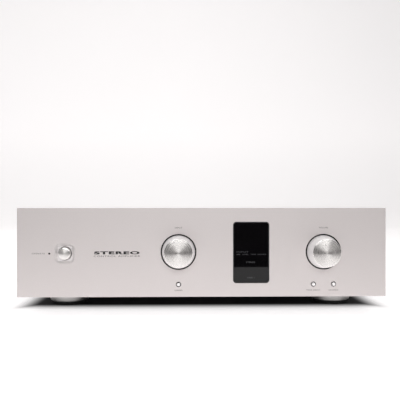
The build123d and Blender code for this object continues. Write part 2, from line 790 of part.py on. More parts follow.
for knob_name, axis_point in knob_axes.items():
    knob_x, axis_z = axis_point
    set_screw_plane = Plane((knob_x, front_y - set_screw_y, axis_z), x_dir=(1, 0, 0), z_dir=(0, 0, -1))
    with BuildPart() as knob:
        add(
            half_section(
                turning_plane(axis_point),
                [
                    (0, knob_face_y),
                    (knob_face_radius, knob_face_y),
                    (knob_face_radius + knob_face_edge, knob_face_y + knob_face_edge),
                    (knob_base_radius, front_y),
                    (knob_base_radius, knob_back_y),
                    (knob_recess_radius, knob_back_y),
                    (knob_recess_radius, knob_recess_y),
                    (shaft_radius + running, knob_recess_y),
                    (shaft_radius + running, knob_bore_y),
                    (0, knob_bore_y),
                ],
            )
        )
        revolve(axis=axis_to_rear(axis_point))
        thread = discs(set_screw_plane, [(0, 0)], set_screw_radius + running)
        extrude(thread, amount=knob_base_radius, mode=Mode.SUBTRACT)
    save(knob, f"{knob_name}_knob")

    with BuildPart() as set_screw:
        point = discs(set_screw_plane.offset(set_screw_z_top), [(0, 0)], set_screw_radius)
        extrude(point, amount=set_screw_length)
        with BuildSketch(set_screw_plane.offset(set_screw_z_top + set_screw_length)):
            RegularPolygon(set_screw_socket_width / 2, 6, major_radius=False)
        extrude(amount=-set_screw_socket_depth, mode=Mode.SUBTRACT)
    save(set_screw, f"{knob_name}_knob_screw")

    # The shaft carries the encoder's rotor, and has a flat under the set screw
    with BuildPart() as shaft:
        add(
            half_section(
                turning_plane(axis_point),
                [
                    (0, knob_bore_y + fit),
                    (shaft_radius, knob_bore_y + fit),
                    (shaft_radius, rotor_front_y),
                    (rotor_radius, rotor_front_y),
                    (rotor_radius, rotor_back_y),
                    (0, rotor_back_y),
                ],
            )
        )
        revolve(axis=axis_to_rear(axis_point))
        flat_z = axis_z - shaft_radius + shaft_flat
        shaft_x_range = (knob_x - shaft_radius, knob_x + shaft_radius)
        add(
            block(shaft_x_range, (knob_face_y, knob_recess_y), (axis_z - 2 * shaft_radius, flat_z)),
            mode=Mode.SUBTRACT,
        )
    save(shaft, f"{knob_name}_shaft")

    with BuildPart() as encoder:
        add(
            half_section(
                turning_plane(axis_point),
                [
                    (shaft_radius + running, bush_end_y),
                    (bush_radius, bush_end_y),
                    (bush_radius, sub_back_y),
                    (encoder_radius, sub_back_y),
                    (encoder_radius, encoder_back_y),
                    (0, encoder_back_y),
                    (0, rotor_back_y + gap),
                    (rotor_radius + gap, rotor_back_y + gap),
                    (rotor_radius + gap, rotor_front_y - gap),
                    (shaft_radius + running, rotor_front_y - gap),
                ],
            )
        )
        revolve(axis=axis_to_rear(axis_point))
        # Leads to the control board
        with BuildSketch(Plane((knob_x, encoder_back_y, axis_z), x_dir=(1, 0, 0), z_dir=(0, 1, 0))):
            with PolarLocations(encoder_lead_circle, encoder_leads):
                Circle(lead_radius)
        extrude(amount=control_board_back_y - encoder_back_y + lead_radius)
    save(encoder, f"{knob_name}_encoder")

with BuildPart() as encoder_nuts:
    for axis_point in knob_axes.values():
        with BuildSketch(facing_front(panel_back_y)):
            with Locations(axis_point):
                RegularPolygon(nut_across_flats / 2, 6, major_radius=False)
                Circle(bush_radius + running, mode=Mode.SUBTRACT)
        extrude(amount=nut_thickness)
save(encoder_nuts, "encoder_nuts")

# ---------------------------------------------------------------- power button, its spring, and the switches
power_flange_y = panel_back_y + gap
power_flange_back_y = power_flange_y + power_flange_thickness
switch_front_y = control_board_y - switch_depth
key_front_y = control_board_y - key_depth

with BuildPart() as power_button:
    button_face = front_y - power_button_proud
    add(
        half_section(
            turning_plane(power_axis),
            [
                (0, button_face),
                (power_button_radius - power_button_edge, button_face),
                (power_button_radius, button_face + power_button_edge),
                (power_button_radius, power_flange_y),
                (power_flange_radius, power_flange_y),
                (power_flange_radius, power_flange_back_y),
                (power_stem_radius, power_flange_back_y),
                (power_stem_radius, switch_front_y + power_stem_entry),
                (0, switch_front_y + power_stem_entry),
            ],
        )
    )
    revolve(axis=axis_to_rear(power_axis))
save(power_button, "power_button")

with BuildPart() as push_switches:
    # The power switch
    extrude(
        rectangle(facing_front(switch_front_y), power_axis, switch_width, switch_width),
        amount=-switch_depth,
    )
    plunger_hole = discs(facing_front(switch_front_y), [power_axis], power_stem_radius + gap)
    plunger_depth = power_stem_entry + power_button_travel + gap
    extrude(plunger_hole, amount=-plunger_depth, mode=Mode.SUBTRACT)
    with BuildSketch(facing_front(control_board_y)):
        with Locations(power_axis):
            with GridLocations(switch_width / 2, switch_width / 2, 2, 2):
                Circle(lead_radius)
    extrude(amount=-board - lead_radius)
    # A key switch behind each small button
    with BuildSketch(facing_front(key_front_y)):
        with Locations(*small_buttons.values()):
            Rectangle(key_width, key_width)
    extrude(amount=-key_depth)
    stems = discs(facing_front(key_front_y), small_buttons.values(), small_stem_radius + gap)
    extrude(stems, amount=-(small_stem_entry + small_button_travel + gap), mode=Mode.SUBTRACT)
save(push_switches, "push_switches")

with BuildPart() as power_spring:
    spring_start_y = power_flange_back_y + spring_wire_radius + fit
    spring_end_y = switch_front_y - spring_wire_radius - fit
    spring_height = spring_end_y - spring_start_y
    with BuildLine():
        coil = Helix(
            pitch=spring_height / spring_turns,
            height=spring_height,
            radius=spring_radius,
            center=(power_axis[0], spring_start_y, power_axis[1]),
            direction=(0, 1, 0),
        )
    with BuildSketch(Plane(coil @ 0, z_dir=coil % 0)):
        Circle(spring_wire_radius)
    sweep(path=coil, is_frenet=True)
save(power_spring, "power_spring")

# ---------------------------------------------------------------- small push buttons
small_flange_y = panel_back_y + gap
small_flange_back_y = small_flange_y + small_flange_thickness

for button_name, axis_point in small_buttons.items():
    with BuildPart() as small_button:
        button_face = front_y - small_button_proud
        add(
            half_section(
                turning_plane(axis_point),
                [
                    (0, button_face),
                    (small_button_radius - small_button_edge, button_face),
                    (small_button_radius, button_face + small_button_edge),
                    (small_button_radius, small_flange_y),
                    (small_flange_radius, small_flange_y),
                    (small_flange_radius, small_flange_back_y),
                    (small_stem_radius, small_flange_back_y),
                    (small_stem_radius, key_front_y + small_stem_entry),
                    (0, key_front_y + small_stem_entry),
                ],
            )
        )
        revolve(axis=axis_to_rear(axis_point))
    save(small_button, button_name)

with BuildPart() as power_light:
    # A moulded light guide in front of the lamp's body
    add(
        half_section(
            turning_plane(led_axis),
            [
                (0, front_y + fit),
                (led_radius, front_y + fit),
                (led_radius, panel_back_y + fit),
                (led_body_radius, panel_back_y + fit),
                (led_body_radius, control_board_y),
                (0, control_board_y),
            ],
        )
    )
    revolve(axis=axis_to_rear(led_axis))
save(power_light, "power_light")

# ---------------------------------------------------------------- display
inset = fit + frame_wall
opening = (window_width - 2 * inset, window_height - 2 * inset, window_corner - inset)
light = (opening[0] - 2 * frame_ledge, opening[1] - 2 * frame_ledge, opening[2] - frame_ledge)

with BuildPart() as display_frame:
    frame_front_y = front_y + frame_set_back
    outer = (window_width - 2 * fit, window_height - 2 * fit, window_corner - fit)
    extrude(rectangle(facing_front(frame_front_y), display_at, *outer), amount=frame_front_y - panel_back_y)
    extrude(
        rectangle(facing_front(panel_back_y), display_at, *flange_size),
        amount=frame_flange_thickness,
    )
    extrude(
        rectangle(facing_front(frame_front_y), display_at, *opening),
        amount=frame_front_y - glass_back_y,
        mode=Mode.SUBTRACT,
    )
    extrude(
        rectangle(facing_front(frame_front_y), display_at, *light),
        amount=frame_front_y - panel_back_y,
        mode=Mode.SUBTRACT,
    )
save(display_frame, "display_frame")

with BuildPart() as display_glass:
    glass = (opening[0] - 2 * fit, opening[1] - 2 * fit, opening[2] - fit)
    extrude(rectangle(facing_front(glass_back_y), display_at, *glass), amount=glass_thickness)
save(display_glass, "display_glass")

with BuildPart() as display_module:
    extrude(rectangle(facing_front(module_front_y), display_at, *module_size), amount=-module_depth)
    # Two legs hold the module off the control board
    for sign in (-1, 1):
        leg_at = (display_at[0] + sign * (module_size[0] - module_leg) / 2, display_at[1])
        leg = rectangle(facing_front(module_back_y), leg_at, module_leg, module_size[1])
        extrude(leg, amount=module_back_y - control_board_y)
save(display_module, "display_module")

# ---------------------------------------------------------------- boards
with BuildPart() as control_board:
    board_half = inner_half - control_board_inset
    control_z = (panel_z - control_board_height / 2, panel_z + control_board_height / 2)
    add(block((-board_half, board_half), (control_board_y, control_board_back_y), control_z))
    for axis_point in knob_axes.values():
        board_plane = Plane((axis_point[0], control_board_y, axis_point[1]), x_dir=(1, 0, 0), z_dir=(0, 1, 0))
        with BuildSketch(board_plane):
            with PolarLocations(encoder_lead_circle, encoder_leads):
                Circle(lead_radius + fit)
        extrude(amount=board, mode=Mode.SUBTRACT)
    with BuildSketch(facing_front(control_board_y)):
        with Locations(power_axis):
            with GridLocations(switch_width / 2, switch_width / 2, 2, 2):
                Circle(lead_radius + fit)
    extrude(amount=-board, mode=Mode.SUBTRACT)
    spacer_holes = discs(facing_front(control_board_y), control_spacers_at, screw_radius + fit)
    extrude(spacer_holes, amount=-board, mode=Mode.SUBTRACT)
save(control_board, "control_board")

for board_name, centre, size in (
    ("supply_board", supply_board_at, (supply_board_size, supply_board_size)),
    ("main_board", main_board_at, main_board_size),
):
    with BuildPart() as floor_board:
        with BuildSketch(Plane.XY.offset(board_z)):
            with Locations(centre):
                Rectangle(*size)
            with Locations(*board_corners(centre, size)):
                Circle(screw_radius + fit, mode=Mode.SUBTRACT)
        extrude(amount=board)
    save(floor_board, board_name)

with BuildPart() as board_spacers:
    extrude(discs(facing_front(sub_back_y), control_spacers_at, spacer_radius), amount=-control_board_space)
    extrude(discs(Plane.XY.offset(floor_z), floor_spacers_at, spacer_radius), amount=board_stand_off)
    thread_depth = screw_length - board + thread_run_out
    extrude(
        discs(facing_front(control_board_y), control_spacers_at, screw_radius + running),
        amount=thread_depth,
        mode=Mode.SUBTRACT,
    )
    extrude(
        discs(Plane.XY.offset(board_z), floor_spacers_at, screw_radius + running),
        amount=-thread_depth,
        mode=Mode.SUBTRACT,
    )
save(board_spacers, "board_spacers")

# ---------------------------------------------------------------- power supply
transformer_bottom_z = floor_z + transformer_base_height
transformer_top_z = transformer_bottom_z + transformer_height
plate_top_z = transformer_top_z + transformer_plate_thickness

with BuildPart() as transformer_base:
    with BuildSketch(Plane.XY.offset(floor_z)):
        with Locations(transformer_at):
            Circle(transformer_base_radius)
            Circle(transformer_bolt_head + fit, mode=Mode.SUBTRACT)
    extrude(amount=transformer_base_height)
save(transformer_base, "transformer_base")

with BuildPart() as transformer:
    with BuildSketch(Plane.XY.offset(transformer_bottom_z)):
        with Locations(transformer_at):
            Circle(transformer_radius)
            Circle(transformer_hole_radius, mode=Mode.SUBTRACT)
    extrude(amount=transformer_height)
    rims = transformer.edges().filter_by(GeomType.CIRCLE)
    fillet(rims, transformer_edge)
save(transformer, "transformer")

with BuildPart() as transformer_plate:
    with BuildSketch(Plane.XY.offset(transformer_top_z)):
        with Locations(transformer_at):
            Circle(transformer_plate_radius)
            Circle(transformer_bolt_radius + fit, mode=Mode.SUBTRACT)
    extrude(amount=transformer_plate_thickness)
save(transformer_plate, "transformer_plate")

with BuildPart() as transformer_bolt:
    with BuildSketch(Plane.XY.offset(plate_top_z)):
        with Locations(transformer_at):
            RegularPolygon(transformer_bolt_head / 2, 6, major_radius=False)
    extrude(amount=transformer_bolt_head_height)
    shank = discs(Plane.XY.offset(plate_top_z), [transformer_at], transformer_bolt_radius)
    extrude(shank, amount=body_bottom_z - plate_top_z)
save(transformer_bolt, "transformer_bolt")

with BuildPart() as filter_capacitors:
    with BuildSketch(Plane.XY.offset(board_top_z)):
        with Locations(supply_board_at):
            with GridLocations(capacitor_pitch, capacitor_pitch, 2, 2):
                Circle(capacitor_radius)
    extrude(amount=capacitor_height)
    fillet(filter_capacitors.faces().filter_by(Axis.Z).group_by(Axis.Z)[-1].edges(), capacitor_edge)
save(filter_capacitors, "filter_capacitors")

# ---------------------------------------------------------------- audio circuits
module_pitch = (main_board_size[0] / module_share, main_board_size[1] / module_share)
with BuildPart() as line_modules:
    with BuildSketch(Plane.XY.offset(board_top_z)):
        with Locations((main_board_at[0], main_board_at[1] - module_pitch[1] / 2)):
            with GridLocations(*module_pitch, 2, 2):
                Rectangle(module_width, module_length)
    extrude(amount=module_height)
save(line_modules, "line_modules")

with BuildPart() as relays:
    with BuildSketch(Plane.XY.offset(board_top_z)):
        for x in phono_xs:
            with Locations((x, main_board_y[1] - relay_length - board_screw_inset)):
                Rectangle(relay_width, relay_length)
    extrude(amount=relay_height)
save(relays, "relays")

# ---------------------------------------------------------------- phono sockets
with BuildPart() as phono_blocks:
    block_z = (row_zs[1] - phono_block_margin, row_zs[0] + phono_block_margin)
    for x in phono_xs:
        block_x = (x - phono_block_width / 2, x + phono_block_width / 2)
        add(block(block_x, (rear_inner_y - phono_block_depth, rear_inner_y), block_z))
    bosses = discs(facing_front(rear_inner_y), phono_points, phono_boss_radius)
    extrude(bosses, amount=-(steel + phono_boss_height))
    core_radius = phono_shell_radius - phono_shell_wall - fit
    core_end_y = unit_depth / 2 - phono_core_set_back
    cores = discs(facing_front(rear_inner_y), phono_points, core_radius)
    extrude(cores, amount=rear_inner_y - core_end_y)
    contacts = discs(facing_front(core_end_y), phono_points, phono_contact_radius)
    extrude(contacts, amount=phono_contact_depth, mode=Mode.SUBTRACT)
    screw_threads = discs(facing_front(rear_inner_y), phono_screws_at, screw_radius + running)
    extrude(screw_threads, amount=screw_length, mode=Mode.SUBTRACT)
save(phono_blocks, "phono_blocks")

with BuildPart() as phono_shells:
    shell_start_y = rear_y + phono_boss_height
    flanges = discs(facing_front(shell_start_y), phono_points, phono_flange_radius)
    extrude(flanges, amount=-phono_flange_thickness)
    tubes = discs(facing_front(shell_start_y), phono_points, phono_shell_radius)
    extrude(tubes, amount=shell_start_y - unit_depth / 2)
    bores = discs(facing_front(shell_start_y), phono_points, phono_shell_radius - phono_shell_wall)
    extrude(bores, amount=shell_start_y - unit_depth / 2, mode=Mode.SUBTRACT)
save(phono_shells, "phono_shells")

# ---------------------------------------------------------------- balanced sockets
balanced_flange_y = rear_y + balanced_flange
balanced_bore_end_y = balanced_flange_y - balanced_bore_depth
latch_slot = (latch_width + 2 * gap, latch_height + 2 * gap)
pin_angles = {"latched": 30, "pinned": -150}


def balanced_body(point, with_latch):
    """A socket's flange and barrel, with the round bore that a plug goes into."""
    screws = [
        (point[0] + sign * balanced_screw_x, point[1] - sign * balanced_screw_z) for sign in (-1, 1)
    ]
    with BuildPart(mode=Mode.PRIVATE) as body:
        extrude(
            rectangle(facing_front(rear_y), point, balanced_width, balanced_height, balanced_corner),
            amount=-balanced_flange,
        )
        extrude(balanced_outline(facing_front(rear_y), point, 0, with_latch), amount=balanced_barrel_length)
        bore = discs(facing_front(balanced_flange_y), [point], balanced_bore_radius)
        extrude(bore, amount=balanced_bore_depth, mode=Mode.SUBTRACT)
        screw_holes = discs(facing_front(balanced_flange_y), screws, screw_radius + fit)
        extrude(screw_holes, amount=balanced_flange, mode=Mode.SUBTRACT)
    return body.part


def pin_places(point, turn):
    """The three contacts' places, on a circle about the socket's axis."""
    with BuildSketch(facing_front(balanced_bore_end_y), mode=Mode.PRIVATE) as sketch:
        with Locations(point):
            with PolarLocations(balanced_pin_circle, 3, start_angle=turn):
                Circle(balanced_pin_radius)
    return [(face.center().X, face.center().Z) for face in sketch.sketch.faces()]


for row_name, z in zip(("upper", "lower"), row_zs):
    point = (balanced_input_x, z)
    with BuildPart() as balanced_input:
        add(balanced_body(point, True))
        slot = rectangle(facing_front(balanced_flange_y), (point[0], point[1] + latch_rise), *latch_slot)
        extrude(slot, amount=latch_length + latch_travel + gap, mode=Mode.SUBTRACT)
    save(balanced_input, f"balanced_input_{row_name}")

    with BuildPart() as latch:
        latch_at = (point[0], point[1] + latch_rise)
        tab = rectangle(facing_front(balanced_flange_y + latch_proud), latch_at, latch_width, latch_height)
        extrude(tab, amount=latch_length + latch_proud)
    save(latch, f"input_latch_{row_name}")

with BuildPart() as balanced_cores:
    # The round inserts with the contact holes, standing in the balanced inputs' bores
    for point in balanced_input_points:
        core = discs(facing_front(balanced_bore_end_y), [point], balanced_core_radius)
        extrude(core, amount=-balanced_bore_depth)
        contacts_at = pin_places(point, pin_angles["latched"])
        contacts = discs(facing_front(balanced_flange_y), contacts_at, balanced_pin_hole_radius)
        extrude(contacts, amount=balanced_pin_length, mode=Mode.SUBTRACT)
save(balanced_cores, "balanced_cores")

with BuildPart() as balanced_outputs:
    for point in balanced_output_points:
        add(balanced_body(point, False))
        pins_at = pin_places(point, pin_angles["pinned"])
        seats = discs(facing_front(balanced_bore_end_y), pins_at, balanced_pin_radius + fit)
        extrude(seats, amount=balanced_seat_depth, mode=Mode.SUBTRACT)
save(balanced_outputs, "balanced_outputs")

# ---------------------------------------------------------------- mains inlet
inlet_face_y = rear_y + inlet_flange
inlet_recess_end_y = inlet_face_y - inlet_recess_depth
inlet_tail_y = rear_y - inlet_depth - inlet_tail
inlet_pins_at = [
    (inlet_at[0] - inlet_pin_spacing / 2, inlet_at[1] + inlet_pin_drop),
    (inlet_at[0], inlet_at[1] + inlet_pin_drop + inlet_pin_rise),
    (inlet_at[0] + inlet_pin_spacing / 2, inlet_at[1] + inlet_pin_drop),
]

with BuildPart() as mains_inlet:
    extrude(
        rectangle(facing_front(rear_y), inlet_at, inlet_flange_width, inlet_flange_height, inlet_corner),
        amount=-inlet_flange,
    )
    extrude(rectangle(facing_front(rear_y), inlet_at, inlet_width, inlet_height), amount=inlet_depth)
    recess = (inlet_width - 2 * inlet_wall, inlet_height - 2 * inlet_wall)
    extrude(
        rectangle(facing_front(inlet_face_y), inlet_at, *recess),
        amount=inlet_recess_depth,
        mode=Mode.SUBTRACT,
    )
    screw_holes = discs(facing_front(inlet_face_y), inlet_screws_at, screw_radius + fit)
    extrude(screw_holes, amount=inlet_flange, mode=Mode.SUBTRACT)
    for pin_at in inlet_pins_at:
        seat_size = (inlet_pin[0] + 2 * fit, inlet_pin[1] + 2 * fit)
        seat = rectangle(facing_front(inlet_recess_end_y), pin_at, *seat_size)
        extrude(seat, amount=inlet_depth, mode=Mode.SUBTRACT)
save(mains_inlet, "mains_inlet")

with BuildPart() as socket_pins:
    # Round pins of the balanced outputs, and the blades of the mains inlet
    for point in balanced_output_points:
        pins_at = pin_places(point, pin_angles["pinned"])
        pins = discs(facing_front(balanced_bore_end_y), pins_at, balanced_pin_radius)
        extrude(pins, amount=-balanced_pin_length)
        extrude(pins, amount=balanced_seat_depth)
    for pin_at in inlet_pins_at:
        pin = rectangle(facing_front(inlet_recess_end_y), pin_at, *inlet_pin)
        extrude(pin, amount=-inlet_pin_length)
        extrude(pin, amount=inlet_recess_end_y - inlet_tail_y)
save(socket_pins, "socket_pins")

# ---------------------------------------------------------------- ground terminal
ground_stud_y = unit_depth / 2 - ground_stud_end
ground_base_y = rear_y + ground_base_height
ground_washer_y = ground_base_y + fit / 2
ground_washer_end_y = ground_washer_y + ground_washer_thickness
ground_nut_y = ground_washer_end_y + fit / 2

with BuildPart() as ground_post:
    with BuildSketch(facing_front(rear_y)):
        with Locations(ground_at):
            RegularPolygon(ground_base_across_flats / 2, 6, major_radius=False)
    extrude(amount=-ground_base_height)
    extrude(discs(facing_front(rear_y), [ground_at], ground_stud_radius), amount=rear_y - ground_stud_y)
    extrude(discs(facing_front(rear_y), [ground_at], ground_stud_radius), amount=steel + ground_base_height)
save(ground_post, "ground_post")

with BuildPart() as ground_washer:
    with BuildSketch(facing_front(ground_washer_y)):
        with Locations(ground_at):
            Circle(ground_washer_radius)
            Circle(ground_stud_radius + running, mode=Mode.SUBTRACT)
    extrude(amount=-ground_washer_thickness)
save(ground_washer, "ground_washer")

with BuildPart() as ground_nut:
    with BuildSketch(facing_front(ground_nut_y)):
        with Locations(ground_at):
            Circle(ground_nut_radius)
            Circle(ground_stud_radius + running, mode=Mode.SUBTRACT)
            with PolarLocations(ground_nut_radius, ground_nut_grooves):
                Circle(ground_groove_radius, mode=Mode.SUBTRACT)
    extrude(amount=-ground_nut_length)
save(ground_nut, "ground_nut")

# ---------------------------------------------------------------- inner leads
with BuildPart() as mains_lead:
    # From the inlet's tails down to the power supply board's rear edge
    lead_start = (inlet_at[0], inlet_tail_y - fit, inlet_at[1])
    lead_end = (inlet_at[0], supply_board_at[1] + supply_board_size / 2 - mains_lead_inset, board_top_z)
    with BuildLine():
        FilletPolyline(
            lead_start,
            (lead_start[0], (lead_start[1] + lead_end[1]) / 2, lead_start[2]),
            (lead_end[0], lead_end[1], lead_start[2] - mains_lead_drop),
            lead_end,
            radius=mains_lead_bend,
        )
    with BuildSketch(Plane(lead_start, z_dir=(0, -1, 0))):
        Circle(mains_lead_radius)
    sweep()
save(mains_lead, "mains_lead")

with BuildPart() as ribbon_cable:
    # A flat cable in one fold, from the control board's back to the main board's front edge
    ribbon_x = main_board_at[0]
    ribbon_y = (control_board_back_y, main_board_y[0] + ribbon_overlap)
    ribbon_top = board_top_z + ribbon_rise
    ribbon_xs = (ribbon_x - ribbon_width / 2, ribbon_x + ribbon_width / 2)
    add(block(ribbon_xs, ribbon_y, (ribbon_top, ribbon_top + ribbon_thickness)))
    add(block(ribbon_xs, (ribbon_y[1] - ribbon_thickness, ribbon_y[1]), (board_top_z, ribbon_top)))
save(ribbon_cable, "ribbon_cable")
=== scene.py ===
"""A hi-fi control amplifier: finishes for its machined pieces, and the turned, printed and lit pieces."""

from math import pi, radians

import bpy
from bpy.props import FloatProperty, PointerProperty, StringProperty
from bpy.types import Operator, Panel, PropertyGroup
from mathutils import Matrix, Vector


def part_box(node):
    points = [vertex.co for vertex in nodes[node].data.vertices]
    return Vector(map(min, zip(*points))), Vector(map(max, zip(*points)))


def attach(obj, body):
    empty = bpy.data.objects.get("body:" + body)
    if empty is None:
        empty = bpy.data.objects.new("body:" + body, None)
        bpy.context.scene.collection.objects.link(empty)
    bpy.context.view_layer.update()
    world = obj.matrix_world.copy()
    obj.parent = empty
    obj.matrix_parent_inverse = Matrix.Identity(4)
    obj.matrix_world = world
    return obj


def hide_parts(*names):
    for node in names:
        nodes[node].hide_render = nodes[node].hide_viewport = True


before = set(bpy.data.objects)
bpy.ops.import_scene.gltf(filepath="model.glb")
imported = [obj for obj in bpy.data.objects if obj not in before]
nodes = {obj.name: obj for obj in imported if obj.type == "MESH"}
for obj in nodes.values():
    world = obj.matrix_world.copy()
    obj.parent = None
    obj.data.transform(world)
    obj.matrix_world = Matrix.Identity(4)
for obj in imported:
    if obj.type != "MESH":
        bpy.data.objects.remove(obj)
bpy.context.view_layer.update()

bl_info = {
    "name": "Control amplifier",
    "version": (1, 0, 0),
    "blender": (4, 5, 0),
    "location": "View3D > Sidebar > Amplifier",
    "description": "Builds the visible pieces and finishes of a hi-fi control amplifier",
    "category": "Object",
}

mm = 0.001

# ---------------------------------------------------------------- places read from the frame
panel_low, panel_high = (Vector(corner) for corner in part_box("front_panel"))
panel_front = panel_low.y
rear_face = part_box("rear_panel")[1][1]
glass_low, glass_high = (Vector(corner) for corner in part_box("display_glass"))


def middle(node):
    """The centre of a node's box."""
    low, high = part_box(node)
    return (Vector(low) + Vector(high)) / 2


def radius_across(node):
    """Half a round node's width."""
    low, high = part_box(node)
    return (high[0] - low[0]) / 2


# ---------------------------------------------------------------- sizes and colours a user would change
class AmplifierSizes(PropertyGroup):
    edge_round: FloatProperty(
        name="Edge rounding",
        description="Radius on turned edges",
        default=0.35 * mm,
        unit="LENGTH",
        precision=5,
    )
    knob_chamfer: FloatProperty(
        name="Knob chamfer",
        description="Width of the chamfer round a knob's face",
        default=0.5 * mm,
        unit="LENGTH",
    )
    legend_height: FloatProperty(
        name="Legend height",
        description="Height of a printed capital",
        default=1.8 * mm,
        unit="LENGTH",
        precision=5,
    )
    print_depth: FloatProperty(
        name="Ink thickness",
        description="Thickness of the printed ink",
        default=0.03 * mm,
        unit="LENGTH",
    )


class AmplifierColours(PropertyGroup):
    panel: StringProperty(name="Front panel", description="Anodised aluminium, sRGB hex", default="DAD4D3")
    knob: StringProperty(name="Knobs", description="Turned aluminium, sRGB hex", default="F2EFED")
    body: StringProperty(name="Body", description="Cover, sides and rear, sRGB hex", default="2A2A2C")
    ink: StringProperty(name="Ink", description="Printed legends, sRGB hex", default="4A4644")
    floor: StringProperty(name="Floor", description="Stage floor, sRGB hex", default="F2F0F0")


# ---------------------------------------------------------------- materials
def linear(colour):
    """An sRGB hex colour as linear RGBA."""
    channels = [int(colour[i : i + 2], 16) / 255 for i in (0, 2, 4)]
    return [c / 12.92 if c <= 0.04045 else ((c + 0.055) / 1.055) ** 2.4 for c in channels] + [1.0]


def add_node(tree, kind, settings=None, links=None):
    """Adds a node, sets its properties or socket values by name, and links sockets to its inputs."""
    node = tree.nodes.new(kind)
    for key, value in (settings or {}).items():
        if isinstance(key, str) and hasattr(node, key):
            setattr(node, key, value)
        else:
            node.inputs[key].default_value = value
    for key, socket in (links or {}).items():
        tree.links.new(socket, node.inputs[key])
    return node


def new_material(name, colour, roughness, metallic=0.0, **constants):
    """A material with its principled shader's plain values set; returns it, its tree and its shader."""
    material = bpy.data.materials.new(name)
    material.use_nodes = True
    tree = material.node_tree
    shader = tree.nodes["Principled BSDF"]
    shader.inputs["Base Color"].default_value = linear(colour)
    shader.inputs["Roughness"].default_value = roughness
    shader.inputs["Metallic"].default_value = metallic
    for key, value in constants.items():
        shader.inputs[key.replace("_", " ")].default_value = value
    return material, tree, shader


def add_grain(tree, shader, colours, size_mm, depth_mm, roughness, stretch=(1, 1, 1)):
    """Noise of a real size that shifts the colour and the roughness between two values and raises a bump."""
    place = add_node(tree, "ShaderNodeTexCoord")
    scaled = add_node(tree, "ShaderNodeMapping", {"Scale": stretch}, {"Vector": place.outputs["Object"]})
    settings = {"Scale": 1 / (size_mm * mm), "Detail": 4.0, "Roughness": 0.6}
    noise = add_node(tree, "ShaderNodeTexNoise", settings, {"Vector": scaled.outputs[0]})
    ramp = add_node(tree, "ShaderNodeValToRGB", links={0: noise.outputs[0]})
    ramp.color_ramp.elements[0].position = 0.3
    ramp.color_ramp.elements[1].position = 0.7
    ramp.color_ramp.elements[0].color = linear(colours[0])
    ramp.color_ramp.elements[1].color = linear(colours[1])
    spread = {"From Min": 0.3, "From Max": 0.7, "To Min": roughness[0], "To Max": roughness[1]}
    rough = add_node(tree, "ShaderNodeMapRange", spread, {"Value": noise.outputs[0]})
    raised = {"Distance": depth_mm * mm, "Strength": 0.6}
    bump = add_node(tree, "ShaderNodeBump", raised, {"Height": noise.outputs[0]})
    tree.links.new(ramp.outputs[0], shader.inputs["Base Color"])
    tree.links.new(rough.outputs[0], shader.inputs["Roughness"])
    tree.links.new(bump.outputs[0], shader.inputs["Normal"])


def shade(colour, factor):
    """A hex colour made darker or lighter by a factor."""
    channels = [min(255, round(int(colour[i : i + 2], 16) * factor)) for i in (0, 2, 4)]
    return "".join(f"{c:02X}" for c in channels)


def blasted_aluminium(colour, holes, dish):
    """Anodised aluminium, with painted shade in its holes and painted light in its dish. Its holes and its
    dish are each an axis point and a radius.
    """
    # Bead-blasted, then anodised: the blasting breaks every reflection into an even, slightly sparkling grey
    material, tree, shader = new_material("bead-blasted anodised aluminium", colour, 0.5, 1.0)
    # The grit is 0.1 mm; it is drawn at 0.7 mm so that it shows
    add_grain(tree, shader, (shade(colour, 0.985), shade(colour, 1.01)), 0.7, 0.004, (0.46, 0.54))
    metal = shader.inputs["Base Color"].links[0].from_socket
    place = add_node(tree, "ShaderNodeTexCoord")
    margin = 0.05 * mm

    def outside(centre, radius):
        """1 past a radius from the line through a centre along Y, and 0 within it."""
        off = {"operation": "SUBTRACT", 1: centre}
        offset = add_node(tree, "ShaderNodeVectorMath", off, {0: place.outputs["Object"]})
        squash = {"operation": "MULTIPLY", 1: (1, 0, 1)}
        flat = add_node(tree, "ShaderNodeVectorMath", squash, {0: offset.outputs[0]})
        distance = add_node(tree, "ShaderNodeVectorMath", {"operation": "LENGTH"}, {0: flat.outputs[0]})
        past = {"operation": "GREATER_THAN", 1: radius + margin}
        return add_node(tree, "ShaderNodeMath", past, {0: distance.outputs["Value"]}).outputs[0]

    # The dish round the power button is painted paler and less metallic: painted light that keeps its walls
    # pale
    parts = add_node(tree, "ShaderNodeSeparateXYZ", links={0: place.outputs["Object"]})
    front = {"operation": "LESS_THAN", 1: panel_front + 0.1 * mm}
    at_face = add_node(tree, "ShaderNodeMath", front, {0: parts.outputs["Y"]})
    either = {0: outside(*dish), 1: at_face.outputs[0]}
    plain = add_node(tree, "ShaderNodeMath", {"operation": "MAXIMUM"}, either)
    pale = add_node(tree, "ShaderNodeMix", {"data_type": "RGBA"}, {0: plain.outputs[0], 7: metal})
    pale.inputs[6].default_value = linear("E2DEDE")
    spread = {"To Min": 0.6, "To Max": 1.0}
    metallic = add_node(tree, "ShaderNodeMapRange", spread, {"Value": plain.outputs[0]})
    tree.links.new(metallic.outputs[0], shader.inputs["Metallic"])
    # Painted shade: the panel is coloured near-black within each hole's radius, so that each knob and button
    # stands in a crisp dark ring
    clear = outside(*holes[0])
    for hole in holes[1:]:
        both = {0: clear, 1: outside(*hole)}
        clear = add_node(tree, "ShaderNodeMath", {"operation": "MULTIPLY"}, both).outputs[0]
    mix = add_node(tree, "ShaderNodeMix", {"data_type": "RGBA"}, {0: clear, 7: pale.outputs[2]})
    mix.inputs[6].default_value = linear("080808")
    tree.links.new(mix.outputs[2], shader.inputs["Base Color"])
    return material


